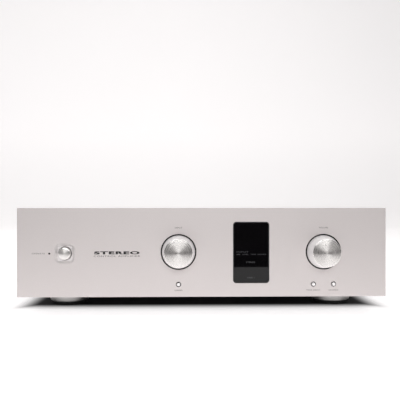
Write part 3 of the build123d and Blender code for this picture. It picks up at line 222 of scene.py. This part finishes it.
def turned_aluminium(name, colour, centre, axis, rough=0.3, spun=0.7):
    """Aluminium cut on a lathe about a line through centre along axis ("y" or "z")."""
    # The cutter leaves circular grooves, which draw a highlight out into two wedges that meet at the centre
    material, tree, shader = new_material(name, colour, rough, 1.0, Anisotropic=spun)
    place = add_node(tree, "ShaderNodeTexCoord")
    off = {"operation": "SUBTRACT", 1: centre}
    offset = add_node(tree, "ShaderNodeVectorMath", off, {0: place.outputs["Object"]})
    flat = {"operation": "MULTIPLY", 1: (1, 0, 1) if axis == "y" else (1, 1, 0)}
    radial = add_node(tree, "ShaderNodeVectorMath", flat, {0: offset.outputs[0]})
    outward = add_node(tree, "ShaderNodeVectorMath", {"operation": "NORMALIZE"}, {0: radial.outputs[0]})
    tree.links.new(outward.outputs[0], shader.inputs["Tangent"])
    # Grooves are 0.05 mm apart; bands of them 0.6 mm wide differ a little in tone
    distance = add_node(tree, "ShaderNodeVectorMath", {"operation": "LENGTH"}, {0: radial.outputs[0]})
    settings = {"noise_dimensions": "1D", "Scale": 1 / (0.6 * mm), "Detail": 3.0}
    bands = add_node(tree, "ShaderNodeTexNoise", settings, {"W": distance.outputs["Value"]})
    ramp = add_node(tree, "ShaderNodeValToRGB", links={0: bands.outputs[0]})
    ramp.color_ramp.elements[0].color = linear(shade(colour, 0.93))
    ramp.color_ramp.elements[1].color = linear(shade(colour, 1.04))
    tree.links.new(ramp.outputs[0], shader.inputs["Base Color"])
    spread = {"To Min": rough - 0.04, "To Max": rough + 0.06}
    rough_bands = add_node(tree, "ShaderNodeMapRange", spread, {"Value": bands.outputs[0]})
    tree.links.new(rough_bands.outputs[0], shader.inputs["Roughness"])
    return material


def powder_paint(colour):
    # Textured powder coat on sheet steel: a fine orange peel that softens the highlights
    material, tree, shader = new_material("satin powder-coated steel", colour, 0.5, 0.0, IOR=1.5)
    add_grain(tree, shader, (shade(colour, 0.9), shade(colour, 1.12)), 1.2, 0.03, (0.42, 0.56))
    return material


def plated_steel():
    # Zinc plating over sheet steel: a cool grey with faint cloudy spangle
    material, tree, shader = new_material("zinc-plated steel", "A9ABAD", 0.35, 1.0)
    add_grain(tree, shader, ("9C9EA1", "B6B8B9"), 6.0, 0.01, (0.28, 0.42))
    return material


def black_oxide():
    # Blackened steel screws: dark with a dull oiled shine
    material, tree, shader = new_material("black-oxide steel", "1C1C1D", 0.35, 0.8)
    add_grain(tree, shader, ("161617", "232324"), 0.5, 0.01, (0.3, 0.45))
    return material


def bright_metal(name, colour, rough):
    # A machined and plated part: smooth, with faint tool marks
    material, tree, shader = new_material(name, colour, rough, 1.0)
    tones = (shade(colour, 0.94), shade(colour, 1.04))
    add_grain(tree, shader, tones, 0.8, 0.004, (rough * 0.8, rough * 1.2))
    return material


def pale_aluminium(name):
    # Near-white and mostly diffuse: painted light that stands in for the bright reflections of the lamps and
    # the floor on aluminium
    material, tree, shader = new_material(name, "FAF8F8", 0.4, 0.2)
    add_grain(tree, shader, ("F6F4F4", "FDFBFB"), 0.6, 0.003, (0.36, 0.46))
    return material


def rubber():
    # Moulded rubber: almost black, with no clear reflection
    material, tree, shader = new_material("moulded rubber", "141414", 0.85, 0.0, IOR=1.52)
    add_grain(tree, shader, ("101010", "1B1B1B"), 0.8, 0.03, (0.8, 0.92))
    return material


def moulded_plastic(name, colour, rough=0.45):
    # Moulded ABS with a spark-eroded texture, as on connectors and bezels
    material, tree, shader = new_material(name, colour, rough, 0.0, IOR=1.54)
    tones = (shade(colour, 0.9), shade(colour, 1.15))
    add_grain(tree, shader, tones, 0.5, 0.01, (rough - 0.05, rough + 0.08))
    return material


def smoked_glass():
    # Smoked glass over an unlit display: black to look into, with one sharp reflection off its face
    material, tree, shader = new_material("smoked display glass", "0C0A0B", 0.03, 0.0, IOR=1.38)
    add_grain(tree, shader, ("080809", "0C0B0D"), 30.0, 0.0, (0.02, 0.035))
    return material


def glowing_print(name, colour, strength):
    # Vacuum fluorescent legends seen through the glass: a dim grey glow with slightly uneven brightness
    material, tree, shader = new_material(name, "0C0C0D", 0.1, 0.0, IOR=1.45)
    place = add_node(tree, "ShaderNodeTexCoord")
    noise = add_node(tree, "ShaderNodeTexNoise", {"Scale": 1 / (3 * mm)}, {"Vector": place.outputs["Object"]})
    spread = {"To Min": strength * 0.85, "To Max": strength * 1.15}
    glow = add_node(tree, "ShaderNodeMapRange", spread, {"Value": noise.outputs[0]})
    shader.inputs["Emission Color"].default_value = linear(colour)
    tree.links.new(glow.outputs[0], shader.inputs["Emission Strength"])
    return material


def printed_ink(colour):
    # Screen-printed ink: matte and a little uneven where it was drawn through the mesh
    material, tree, shader = new_material("screen-printed ink", colour, 0.6, 0.0, IOR=1.5)
    add_grain(tree, shader, (shade(colour, 0.92), shade(colour, 1.1)), 0.4, 0.005, (0.55, 0.7))
    return material


def circuit_board():
    # Glass-epoxy board under green solder mask, with tracks as a faint lighter pattern
    material, tree, shader = new_material("solder-masked circuit board", "1E5A3A", 0.3, 0.0, IOR=1.55)
    add_grain(tree, shader, ("17492F", "25694A"), 2.5, 0.01, (0.25, 0.4), stretch=(1, 0.25, 1))
    return material


def copper_winding():
    # Enamelled copper under clear tape: glossy turns side by side
    material, tree, shader = new_material("taped copper winding", "8A4A22", 0.3, IOR=1.5, Coat_Weight=0.5)
    add_grain(tree, shader, ("6E3A1A", "9C5A2C"), 1.0, 0.1, (0.25, 0.4), stretch=(1, 1, 0.1))
    return material


def phono_plastic():
    # Moulded plastic inserts: white in the upper row for the left channel, and red in the lower for the right
    material, tree, shader = new_material("two-colour moulded plastic", "D8D8D4", 0.4, 0.0, IOR=1.5)
    place = add_node(tree, "ShaderNodeTexCoord")
    parts = add_node(tree, "ShaderNodeSeparateXYZ", links={0: place.outputs["Object"]})
    settings = {"operation": "GREATER_THAN", 1: middle("phono_shells").z}
    upper = add_node(tree, "ShaderNodeMath", settings, {0: parts.outputs["Z"]})
    texture = {"Scale": 1 / (0.6 * mm)}
    noise = add_node(tree, "ShaderNodeTexNoise", texture, {"Vector": place.outputs["Object"]})
    mix = add_node(tree, "ShaderNodeMix", {"data_type": "RGBA"})
    mix.inputs[6].default_value = linear("A01818")
    mix.inputs[7].default_value = linear("DCDCD6")
    tree.links.new(upper.outputs[0], mix.inputs[0])
    tree.links.new(mix.outputs[2], shader.inputs["Base Color"])
    rough = add_node(tree, "ShaderNodeMapRange", {"To Min": 0.32, "To Max": 0.5}, {"Value": noise.outputs[0]})
    tree.links.new(rough.outputs[0], shader.inputs["Roughness"])
    return material


def painted_stage(name, colour, glow, shadow):
    """Studio paper with a painted glow, and a shadow painted between two corners (x, y) on the floor."""
    # Matte studio paper, nearly white and faintly mottled, with a painted glow that stands in for the studio
    # light falling on it
    material, tree, shader = new_material(name, colour, 0.9, 0.0, Specular_IOR_Level=0.2)
    place = add_node(tree, "ShaderNodeTexCoord")
    noise = add_node(tree, "ShaderNodeTexNoise", {"Scale": 3.0}, {"Vector": place.outputs["Object"]})
    ramp = add_node(tree, "ShaderNodeValToRGB", links={0: noise.outputs[0]})
    ramp.color_ramp.elements[0].color = linear(shade(colour, 0.99))
    ramp.color_ramp.elements[1].color = linear(shade(colour, 1.0))
    parts = add_node(tree, "ShaderNodeSeparateXYZ", links={0: place.outputs["Object"]})
    # The shadow's front edge is softer than its sides
    edges = []
    for axis, (low, high), sharpness in zip("XY", shadow, (0.35, 0.3)):
        off = {"operation": "SUBTRACT", 1: (low + high) / 2}
        offset = add_node(tree, "ShaderNodeMath", off, {0: parts.outputs[axis]})
        across = add_node(tree, "ShaderNodeMath", {"operation": "ABSOLUTE"}, {0: offset.outputs[0]})
        past = {"operation": "SUBTRACT", 1: (high - low) / 2}
        beyond = add_node(tree, "ShaderNodeMath", past, {0: across.outputs[0]})
        sharpen = {"operation": "MULTIPLY", 1: sharpness}
        edges.append(add_node(tree, "ShaderNodeMath", sharpen, {0: beyond.outputs[0]}).outputs[0])
    outside = add_node(tree, "ShaderNodeMath", {"operation": "MAXIMUM"}, dict(enumerate(edges)))
    soft = {"interpolation_type": "SMOOTHSTEP", "From Min": -6 * mm, "From Max": 6 * mm}
    lit = add_node(tree, "ShaderNodeMapRange", soft, {"Value": outside.outputs[0]})
    mix = add_node(tree, "ShaderNodeMix", {"data_type": "RGBA"}, {0: lit.outputs[0], 7: ramp.outputs[0]})
    mix.inputs[6].default_value = linear("1E1C1E")
    tree.links.new(mix.outputs[2], shader.inputs["Base Color"])
    # The painted glow is a little weaker on the backdrop than on the floor, and towards the right
    depth = {"From Min": 0.6, "From Max": 2.2, "To Min": glow, "To Max": glow * 0.64}
    fade = add_node(tree, "ShaderNodeMapRange", depth, {"Value": parts.outputs["Y"]})
    side = {"From Min": 0.0, "From Max": 1.4, "To Min": 1.0, "To Max": 0.88}
    lean = add_node(tree, "ShaderNodeMapRange", side, {"Value": parts.outputs["X"]})
    times = {"operation": "MULTIPLY"}
    faded = add_node(tree, "ShaderNodeMath", times, {0: lean.outputs[0], 1: fade.outputs[0]})
    strength = add_node(tree, "ShaderNodeMath", times, {0: lit.outputs[0], 1: faded.outputs[0]})
    shader.inputs["Emission Color"].default_value = linear("FFFDFD")
    tree.links.new(strength.outputs[0], shader.inputs["Emission Strength"])
    return material


def wear(material, *pieces):
    """Gives a material to pieces, in place of what they had."""
    for piece in pieces:
        piece = nodes[piece] if isinstance(piece, str) else piece
        piece.data.materials.clear()
        piece.data.materials.append(material)


# ---------------------------------------------------------------- modelling
def deselect():
    """Leaves nothing selected, so that an operator acts on the new piece alone."""
    bpy.ops.object.select_all(action="DESELECT")


def settle(name):
    """Names the active object and moves its place into its mesh."""
    piece = bpy.context.object
    piece.name = name
    piece.data.name = name
    bpy.ops.object.transform_apply(location=True, rotation=True, scale=True)
    return piece


def round_edges(piece, width, segments=3, angle=25):
    """Bevels the sharp edges and smooths the rest."""
    bevel = piece.modifiers.new("edges", "BEVEL")
    bevel.width = width
    bevel.segments = segments
    bevel.limit_method = "ANGLE"
    bevel.angle_limit = radians(angle)
    bpy.ops.object.modifier_apply(modifier=bevel.name)
    bpy.ops.object.shade_smooth_by_angle(angle=radians(angle))


def turned(name, centre, axis, profile, edge, segments=128):
    """A turned piece. The profile lists (place along the axis, radius) from one end to the other."""
    direction = Vector((0, 1, 0)) if axis == "y" else Vector((0, 0, 1))
    turn = (pi / 2, 0, 0) if axis == "y" else (0, 0, 0)

    def on_axis(place):
        return Vector(centre) * (Vector((1, 1, 1)) - direction) + direction * place

    deselect()
    place, radius = profile[0]
    bpy.ops.mesh.primitive_circle_add(
        vertices=segments, radius=radius, fill_type="NGON", location=on_axis(place), rotation=turn
    )
    piece = settle(name)
    bpy.ops.object.mode_set(mode="EDIT")
    bpy.ops.mesh.select_all(action="SELECT")
    for next_place, next_radius in profile[1:]:
        step = direction * (next_place - place)
        bpy.ops.mesh.extrude_region_move(TRANSFORM_OT_translate={"value": step})
        factor = next_radius / radius
        bpy.ops.transform.resize(value=(factor, factor, factor), center_override=on_axis(next_place))
        place, radius = next_place, next_radius
    bpy.ops.mesh.select_all(action="SELECT")
    bpy.ops.mesh.normals_make_consistent(inside=False)
    bpy.ops.object.mode_set(mode="OBJECT")
    round_edges(piece, edge)
    return piece


def legend(name, words, centre, size, facing, material, body="chassis", weight=0.0):
    """Generic words as printed ink, fitted to size (width, height) and centred on a point of the surface."""
    deselect()
    turn = (pi / 2, 0, 0) if facing == "front" else (pi / 2, 0, pi)
    bpy.ops.object.text_add(location=(0, 0, 0))
    text = bpy.context.object
    text.data.body = words
    text.data.align_x = "CENTER"
    text.data.align_y = "CENTER"
    text.data.space_character = 1.15
    text.data.resolution_u = 4
    text.data.offset = weight
    bpy.ops.object.convert(target="MESH")
    text = bpy.context.object
    width, height = text.dimensions.x, text.dimensions.y
    text.scale = (size[0] / width, size[1] / height, 1)
    bpy.ops.object.transform_apply(location=False, rotation=False, scale=True)
    low = [min(v.co[i] for v in text.data.vertices) for i in (0, 1)]
    high = [max(v.co[i] for v in text.data.vertices) for i in (0, 1)]
    for vertex in text.data.vertices:
        vertex.co.x -= (low[0] + high[0]) / 2
        vertex.co.y -= (low[1] + high[1]) / 2
    text.rotation_euler = turn
    text.location = centre
    piece = settle(name)
    ink = piece.modifiers.new("ink", "SOLIDIFY")
    ink.thickness = bpy.context.scene.amplifier_sizes.print_depth
    ink.offset = 1
    bpy.ops.object.modifier_apply(modifier=ink.name)
    wear(material, piece)
    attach(piece, body)
    return piece


def colours():
    """The colours set in the scene."""
    return bpy.context.scene.amplifier_colours


def sizes():
    """The sizes set in the scene."""
    return bpy.context.scene.amplifier_sizes


# ---------------------------------------------------------------- operators
class CaseFinish(Operator):
    """Finishes the case's sheets, feet screws and fasteners"""

    bl_idname = "amplifier.case_finish"
    bl_label = "Case finish"

    def execute(self, context):
        wear(powder_paint(colours().body), "top_cover", "side_panel_left", "side_panel_right", "rear_panel")
        wear(plated_steel(), "base_tray", "partition", "transformer_plate")
        wear(moulded_plastic("blackened steel sheet", "101011", 0.6), "sub_panel")
        wear(black_oxide(), "machine_screws")
        wear(bright_metal("plated screw steel", "B4B4B6", 0.3), "foot_screws", "transformer_bolt")
        # Radii of the front panel's holes, by the piece that stands in each, and of its dish; the panel is
        # painted with shade within the holes and with light within the dish
        hole_radius = {
            "input_knob": 21.25 * mm,
            "volume_knob": 21.25 * mm,
            "dimmer_button": 3.0 * mm,
            "tone_button": 3.0 * mm,
            "loudness_button": 3.0 * mm,
            "power_button": 8.0 * mm,
            "power_light": 1.1 * mm,
        }
        dish_radius = 17.0 * mm
        holes = [(middle(node), radius) for node, radius in hole_radius.items()]
        dish = (middle("power_button"), dish_radius)
        wear(blasted_aluminium(colours().panel, holes, dish), "front_panel")
        return {"FINISHED"}


class Knobs(Operator):
    """Turns the two rotary knobs: a long cone with a flat spun face"""

    bl_idname = "amplifier.knobs"
    bl_label = "Knobs"

    def execute(self, context):
        for node, body in (("input_knob", "input_selector"), ("volume_knob", "volume_control")):
            low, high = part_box(node)
            centre = middle(node)
            base = radius_across(node)
            taper = 3.0 * mm
            face = base - taper
            front = low[1]
            chamfer = sizes().knob_chamfer
            profile = [
                (high[1], base),
                (panel_front, base),
                (front + chamfer, face),
                (front, face - chamfer),
            ]
            piece = turned(node.replace("knob", "knob_turned"), centre, "y", profile, sizes().edge_round)
            spun = turned_aluminium(f"turned aluminium, {body}", colours().knob, centre, "y", 0.27, 0.88)
            wear(spun, piece)
            # The cone is near-white and mostly diffuse, painted light standing in for its bright reflections;
            # the face keeps its spun grooves.
            # What stands in the panel's hole is painted black, as painted shade in the gap
            piece.data.materials.append(pale_aluminium(f"near-white aluminium with painted light, {body}"))
            piece.data.materials.append(moulded_plastic(f"painted gap shade, {body}", "040404", 0.9))
            for polygon in piece.data.polygons:
                if polygon.center.y > panel_front + 0.3 * mm:
                    polygon.material_index = 2
                elif abs(polygon.normal.y) < 0.5:
                    polygon.material_index = 1
            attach(piece, body)
            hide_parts(node)
            metal = bright_metal(f"plated shaft steel, {body}", "B8B8BA", 0.3)
            wear(metal, node.replace("knob", "shaft"), f"{node}_screw")
        return {"FINISHED"}


class Buttons(Operator):
    """Turns the power button and the three small push buttons"""

    bl_idname = "amplifier.buttons"
    bl_label = "Buttons"

    def execute(self, context):
        stem_radius = {
            "power_button": 7.3 * mm,
            "dimmer_button": 2.0 * mm,
            "tone_button": 2.0 * mm,
            "loudness_button": 2.0 * mm,
        }
        for node, radius in stem_radius.items():
            low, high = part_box(node)
            centre = middle(node)
            flange = radius_across(node)
            back = panel_high.y + 0.3 * mm
            crown = radius * 0.05
            profile = [
                (high[1], radius * 0.3),
                (back + 1.0 * mm, radius * 0.3),
                (back + 1.0 * mm, flange),
                (back, flange),
                (back, radius),
                (low[1] + crown * 2, radius),
                (low[1] + crown * 0.6, radius * 0.94),
                (low[1], radius * 0.8),
            ]
            piece = turned(f"{node}_turned", centre, "y", profile, radius * 0.03, segments=64)
            if node == "power_button":
                metal = turned_aluminium(f"turned aluminium, {node}", colours().knob, centre, "y")
            else:
                # The small buttons' near-white, mostly diffuse finish is painted light standing in for their
                # bright reflections
                metal = pale_aluminium(f"near-white aluminium with painted light, {node}")
            wear(metal, piece)
            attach(piece, node)
            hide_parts(node)
        wear(moulded_plastic("clear lamp, unlit", "1A1514", 0.15), "power_light")
        wear(bright_metal("spring steel", "9A9A9C", 0.25), "power_spring")
        return {"FINISHED"}


class Display(Operator):
    """Finishes the display's frame and glass, and adds its dim legends"""

    bl_idname = "amplifier.display"
    bl_label = "Display"

    def execute(self, context):
        wear(moulded_plastic("black display bezel", "0B0B0C", 0.35), "display_frame")
        wear(smoked_glass(), "display_glass")
        wear(moulded_plastic("display module plastic", "101012", 0.5), "display_module")
        dim = glowing_print("dim display legend", "8C8C90", 0.28)
        bright = glowing_print("lit display legend", "B4B4B8", 0.2)
        middle_x = (glass_low.x + glass_high.x) / 2
        surface = glass_low.y
        # Each word: text, place from the glass's middle and its lower edge, width and height, in mm
        words = (
            ("source", "INPUT", -10.2, 35.9, 14.3, 1.4, dim),
            ("unit_a", "dB", -15.2, 33.0, 4.5, 1.4, dim),
            ("unit_b", "LEVEL", -6.7, 33.0, 7.2, 1.4, dim),
            ("unit_c", "TONE", 2.8, 33.0, 6.0, 1.4, dim),
            ("unit_d", "BALANCE", 13.0, 33.0, 10.1, 1.4, dim),
            ("state", "STEREO", -0.6, 23.6, 10.5, 1.8, bright),
            ("mode", "LINE 1", -0.2, 5.2, 8.2, 1.6, dim),
        )
        for key, text, x, z, width, height, material in words:
            centre = (middle_x + x * mm, surface, glass_low.z + z * mm)
            piece = legend(f"display_{key}", text, centre, (width * mm, height * mm), "front", material)
        return {"FINISHED"}


class FrontLegends(Operator):
    """Prints generic function words on the front panel"""

    bl_idname = "amplifier.front_legends"
    bl_label = "Front legends"

    def execute(self, context):
        ink = printed_ink(colours().ink)
        dark = printed_ink("161413")
        capital = sizes().legend_height
        small = capital * 0.85
        power = middle("power_button")
        beside_light = middle("power_light").x - 13 * mm
        input_x = middle("input_knob").x
        volume_x = middle("volume_knob").x
        tone_x = middle("tone_button").x
        loudness_x = middle("loudness_button").x
        title_x = panel_low.x + 118.2 * mm
        # Heights of the rows of words above the panel's lower edge
        over_knobs = panel_low.z + 82.3 * mm
        title_row = panel_low.z + 52.6 * mm
        title_line_row = panel_low.z + 48.6 * mm
        under_buttons = panel_low.z + 7.7 * mm
        prints = (
            ("power", "OPERATE", beside_light, power.z, 15.4 * mm, small, ink),
            ("input", "INPUT", input_x, over_knobs, 8.6 * mm, capital, ink),
            ("volume", "VOLUME", volume_x, over_knobs, 10.9 * mm, capital, ink),
            ("dimmer", "DIMMER", input_x, under_buttons, 9.3 * mm, small, ink),
            ("tone", "TONE DIRECT", tone_x, under_buttons, 16.7 * mm, small, ink),
            ("loudness", "LOUDNESS", loudness_x, under_buttons, 11.7 * mm, small, ink),
            ("title", "STEREO", title_x, title_row, 54 * mm, 3.7 * mm, dark),
            ("title_line", "CONTROL AMPLIFIER", title_x, title_line_row, 55 * mm, 1.8 * mm, ink),
        )
        for key, text, x, z, width, tall, material in prints:
            weight = 0.05 if material == dark else 0.0
            centre = (x, panel_front, z)
            piece = legend(f"legend_{key}", text, centre, (width, tall), "front", material, weight=weight)
        return {"FINISHED"}


class Feet(Operator):
    """Turns the four feet with a groove round each, and finishes their rubber rings"""

    bl_idname = "amplifier.feet"
    bl_label = "Feet"

    def execute(self, context):
        for row in ("front", "rear"):
            for side in ("left", "right"):
                node = f"foot_{row}_{side}"
                low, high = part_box(node)
                centre = middle(node)
                radius = radius_across(node)
                profile = [
                    (low[2] + 2.0 * mm, radius - 4.0 * mm),
                    (low[2] + 1.5 * mm, radius - 3.0 * mm),
                    (low[2] + 2.6 * mm, radius - 1.8 * mm),
                    (low[2] + 7.0 * mm, radius - 0.7 * mm),
                    (high[2] - 6.0 * mm, radius - 0.3 * mm),
                    (high[2] - 5.6 * mm, radius - 0.9 * mm),
                    (high[2] - 4.8 * mm, radius - 0.9 * mm),
                    (high[2] - 4.4 * mm, radius - 0.2 * mm),
                    (high[2] - 0.8 * mm, radius),
                    (high[2], radius - 0.8 * mm),
                ]
                piece = turned(f"{node}_turned", centre, "z", profile, sizes().edge_round, segments=96)
                wear(turned_aluminium(f"turned aluminium, {node}", "DAD8D6", centre, "z", 0.4, 0.5), piece)
                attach(piece, "chassis")
                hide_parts(node)
        wear(rubber(), "foot_pads", "transformer_base")
        return {"FINISHED"}


class RearSockets(Operator):
    """Finishes the rear sockets, the mains inlet and the ground terminal"""

    bl_idname = "amplifier.rear_sockets"
    bl_label = "Rear sockets"

    def execute(self, context):
        wear(bright_metal("gold-plated brass", "E3B85A", 0.2), "phono_shells")
        wear(phono_plastic(), "phono_blocks")
        shell = moulded_plastic("black connector shell", "18181A", 0.4)
        wear(shell, "balanced_cores", "balanced_input_upper", "balanced_input_lower", "balanced_outputs")
        wear(shell, "mains_inlet")
        nickel = bright_metal("nickel-plated brass", "C9C4B8", 0.22)
        wear(nickel, "socket_pins", "ground_post", "ground_washer", "ground_nut")
        wear(nickel, "encoder_nuts", "board_spacers")
        wear(bright_metal("satin nickel tab", "A8A6A0", 0.35), "input_latch_upper", "input_latch_lower")
        return {"FINISHED"}


class RearLegends(Operator):
    """Prints generic function words on the rear panel"""

    bl_idname = "amplifier.rear_legends"
    bl_label = "Rear legends"

    def execute(self, context):
        ink = printed_ink("C9C9C6")
        shells_low, shells_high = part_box("phono_shells")
        first = shells_high[0] - 5.6 * mm
        pitch = 21 * mm
        group_space = 5 * mm
        top = shells_high[2] + 5 * mm
        low = shells_low[2] - 5 * mm
        prints = []
        for i in range(5):
            prints.append((f"line_{i + 1}", f"LINE {i + 1}", first - i * pitch, top, 13 * mm))
        for i, word in enumerate(("REC OUT", "OUT 1", "OUT 2")):
            prints.append((f"out_{i + 1}", word, first - (5 + i) * pitch - group_space, top, 13 * mm))
        prints.append(("left", "LEFT", first + 13 * mm, middle("input_latch_upper").z - 17 * mm, 7 * mm))
        prints.append(("inputs", "BALANCED IN", middle("balanced_input_upper").x, top + 3 * mm, 21 * mm))
        prints.append(("outputs", "BALANCED OUT", middle("balanced_outputs").x, top + 3 * mm, 23 * mm))
        prints.append(("ground", "GROUND", middle("ground_nut").x, middle("ground_nut").z + 10 * mm, 12 * mm))
        prints.append(("mains", "AC IN", middle("mains_inlet").x, middle("mains_inlet").z + 18 * mm, 10 * mm))
        prints.append(("right", "RIGHT", first + 13 * mm, low + 5 * mm, 8 * mm))
        for key, text, x, z, width in prints:
            size = (width, sizes().legend_height * 1.1)
            piece = legend(f"rear_{key}", text, (x, rear_face, z), size, "rear", ink)
        return {"FINISHED"}


class InnerWorks(Operator):
    """Finishes the boards, the power supply and the wiring inside"""

    bl_idname = "amplifier.inner_works"
    bl_label = "Inner works"

    def execute(self, context):
        wear(circuit_board(), "control_board", "supply_board", "main_board")
        wear(copper_winding(), "transformer")
        black = moulded_plastic("black relay and switch plastic", "151516", 0.4)
        wear(black, "relays", "push_switches", "input_encoder", "volume_encoder")
        wear(moulded_plastic("sleeved capacitor can", "10182A", 0.3), "filter_capacitors")
        wear(moulded_plastic("potted module shell", "222224", 0.5), "line_modules")
        wear(moulded_plastic("grey cable cover", "8C8C8C", 0.5), "mains_lead", "ribbon_cable")
        return {"FINISHED"}


class Stage(Operator):
    """Sets the floor, the backdrop, the soft lights and the camera"""

    bl_idname = "amplifier.stage"
    bl_label = "Stage"

    def execute(self, context):
        # The shadow starts behind the panel, where the front light stops, and runs past the body's sides
        across = panel_high.x + 12 * mm
        shadow = ((-across, across), (panel_front + 72 * mm, rear_face - 4 * mm))
        paper = painted_stage("studio paper", colours().floor, 0.62, shadow)
        deselect()
        bpy.ops.mesh.primitive_plane_add(size=1)
        floor = settle("stage_floor")
        bpy.ops.object.mode_set(mode="EDIT")
        bpy.ops.mesh.select_all(action="SELECT")
        front = panel_front - 0.525
        back = 1.9
        bpy.ops.transform.resize(value=(5.0, back - front, 1), center_override=(0, 0, 0))
        bpy.ops.transform.translate(value=(0, (back + front) / 2, 0))
        # The rear edge curves up into the backdrop
        bpy.ops.mesh.select_mode(type="EDGE")
        bpy.ops.mesh.select_all(action="DESELECT")
        bpy.ops.object.mode_set(mode="OBJECT")
        for edge in floor.data.edges:
            edge.select = all(floor.data.vertices[i].co.y > 0 for i in edge.vertices)
        bpy.ops.object.mode_set(mode="EDIT")
        bpy.ops.mesh.extrude_region_move(TRANSFORM_OT_translate={"value": (0, 0.5, 0)})
        bpy.ops.mesh.extrude_region_move(TRANSFORM_OT_translate={"value": (0, 0.05, 2.4)})
        bpy.ops.object.mode_set(mode="OBJECT")
        sweep = floor.modifiers.new("sweep", "BEVEL")
        sweep.width = 0.5
        sweep.segments = 16
        bpy.ops.object.modifier_apply(modifier=sweep.name)
        bpy.ops.object.shade_smooth()
        wear(paper, floor)
        # An overhead key, a low soft box in front that lights the floor under the panel's edge, and a wash on
        # the backdrop
        self.light("key", (0.0, -0.3, 1.5), 0, (2.2, 1.2), 8)
        self.light("front", (0.0, -2.0, 0.95), 68, (1.8, 0.5), 15)
        self.light("wash", (-0.3, 1.0, 1.9), 50, (3.0, 0.5), 7)
        self.world()
        self.camera()
        return {"FINISHED"}

    def light(self, name, place, tilt, size, power):
        """A rectangular soft light, tilted from straight down towards the rear by an angle in degrees."""
        lamp = bpy.data.lights.new(name, "AREA")
        lamp.shape = "RECTANGLE"
        lamp.size, lamp.size_y = size
        lamp.energy = power
        lamp.color = linear("FFFFFF")[:3]
        holder = bpy.data.objects.new(name, lamp)
        holder.location = place
        holder.rotation_euler = (radians(tilt), 0, 0)
        bpy.context.scene.collection.objects.link(holder)

    def world(self):
        """Soft light from all round above the horizon, and almost none from below it."""
        world = bpy.data.worlds.new("studio")
        bpy.context.scene.world = world
        world.use_nodes = True
        tree = world.node_tree
        place = add_node(tree, "ShaderNodeTexCoord")
        parts = add_node(tree, "ShaderNodeSeparateXYZ", links={0: place.outputs["Generated"]})
        ramp = add_node(tree, "ShaderNodeValToRGB", links={0: parts.outputs["Z"]})
        ramp.color_ramp.elements[0].position = 0.0
        ramp.color_ramp.elements[0].color = (0.04, 0.03, 0.03, 1)
        ramp.color_ramp.elements[1].position = 0.04
        ramp.color_ramp.elements[1].color = (1.0, 0.99, 0.99, 1)
        background = tree.nodes["Background"]
        tree.links.new(ramp.outputs[0], background.inputs["Color"])
        background.inputs["Strength"].default_value = 0.25
        # Seen directly, past the edge of the paper, the surroundings are pale like the paper
        path = add_node(tree, "ShaderNodeLightPath")
        seen = add_node(tree, "ShaderNodeBackground", {"Color": linear("FCFAFA"), "Strength": 1.0})
        links = {0: path.outputs["Is Camera Ray"], 1: background.outputs[0], 2: seen.outputs[0]}
        mixed = add_node(tree, "ShaderNodeMixShader", None, links)
        tree.links.new(mixed.outputs[0], tree.nodes["World Output"].inputs["Surface"])

    def camera(self):
        """A level camera in front of the panel, turned a little to the right."""
        data = bpy.data.cameras.new("camera")
        data.lens = 54
        data.sensor_width = 36
        camera = bpy.data.objects.new("camera", data)
        camera.location = (-19 * mm, panel_front - 0.715, panel_high.z + 9.4 * mm)
        camera.rotation_euler = (radians(90), 0, radians(-1.28))
        bpy.context.scene.collection.objects.link(camera)
        bpy.context.scene.camera = camera
        bpy.context.scene.view_settings.view_transform = "Standard"


class AmplifierPanel(Panel):
    """Lists the steps that build the amplifier's visible pieces"""

    bl_idname = "VIEW3D_PT_amplifier"
    bl_label = "Amplifier"
    bl_space_type = "VIEW_3D"
    bl_region_type = "UI"
    bl_category = "Amplifier"

    def draw(self, context):
        for group in (context.scene.amplifier_sizes, context.scene.amplifier_colours):
            for key in group.__annotations__:
                self.layout.prop(group, key)
        for operator in operators:
            self.layout.operator(operator.bl_idname)


operators = (
    CaseFinish, Knobs, Buttons, Display, FrontLegends, Feet, RearSockets, RearLegends, InnerWorks, Stage,
)
classes = (AmplifierSizes, AmplifierColours) + operators + (AmplifierPanel,)


def register():
    for item in classes:
        bpy.utils.register_class(item)
    bpy.types.Scene.amplifier_sizes = PointerProperty(type=AmplifierSizes)
    bpy.types.Scene.amplifier_colours = PointerProperty(type=AmplifierColours)


def unregister():
    del bpy.types.Scene.amplifier_colours
    del bpy.types.Scene.amplifier_sizes
    for item in reversed(classes):
        bpy.utils.unregister_class(item)


def main():
    register()
    for operator in operators:
        group, action = operator.bl_idname.split(".")
        getattr(getattr(bpy.ops, group), action)()


if __name__ == "__main__":
    main()
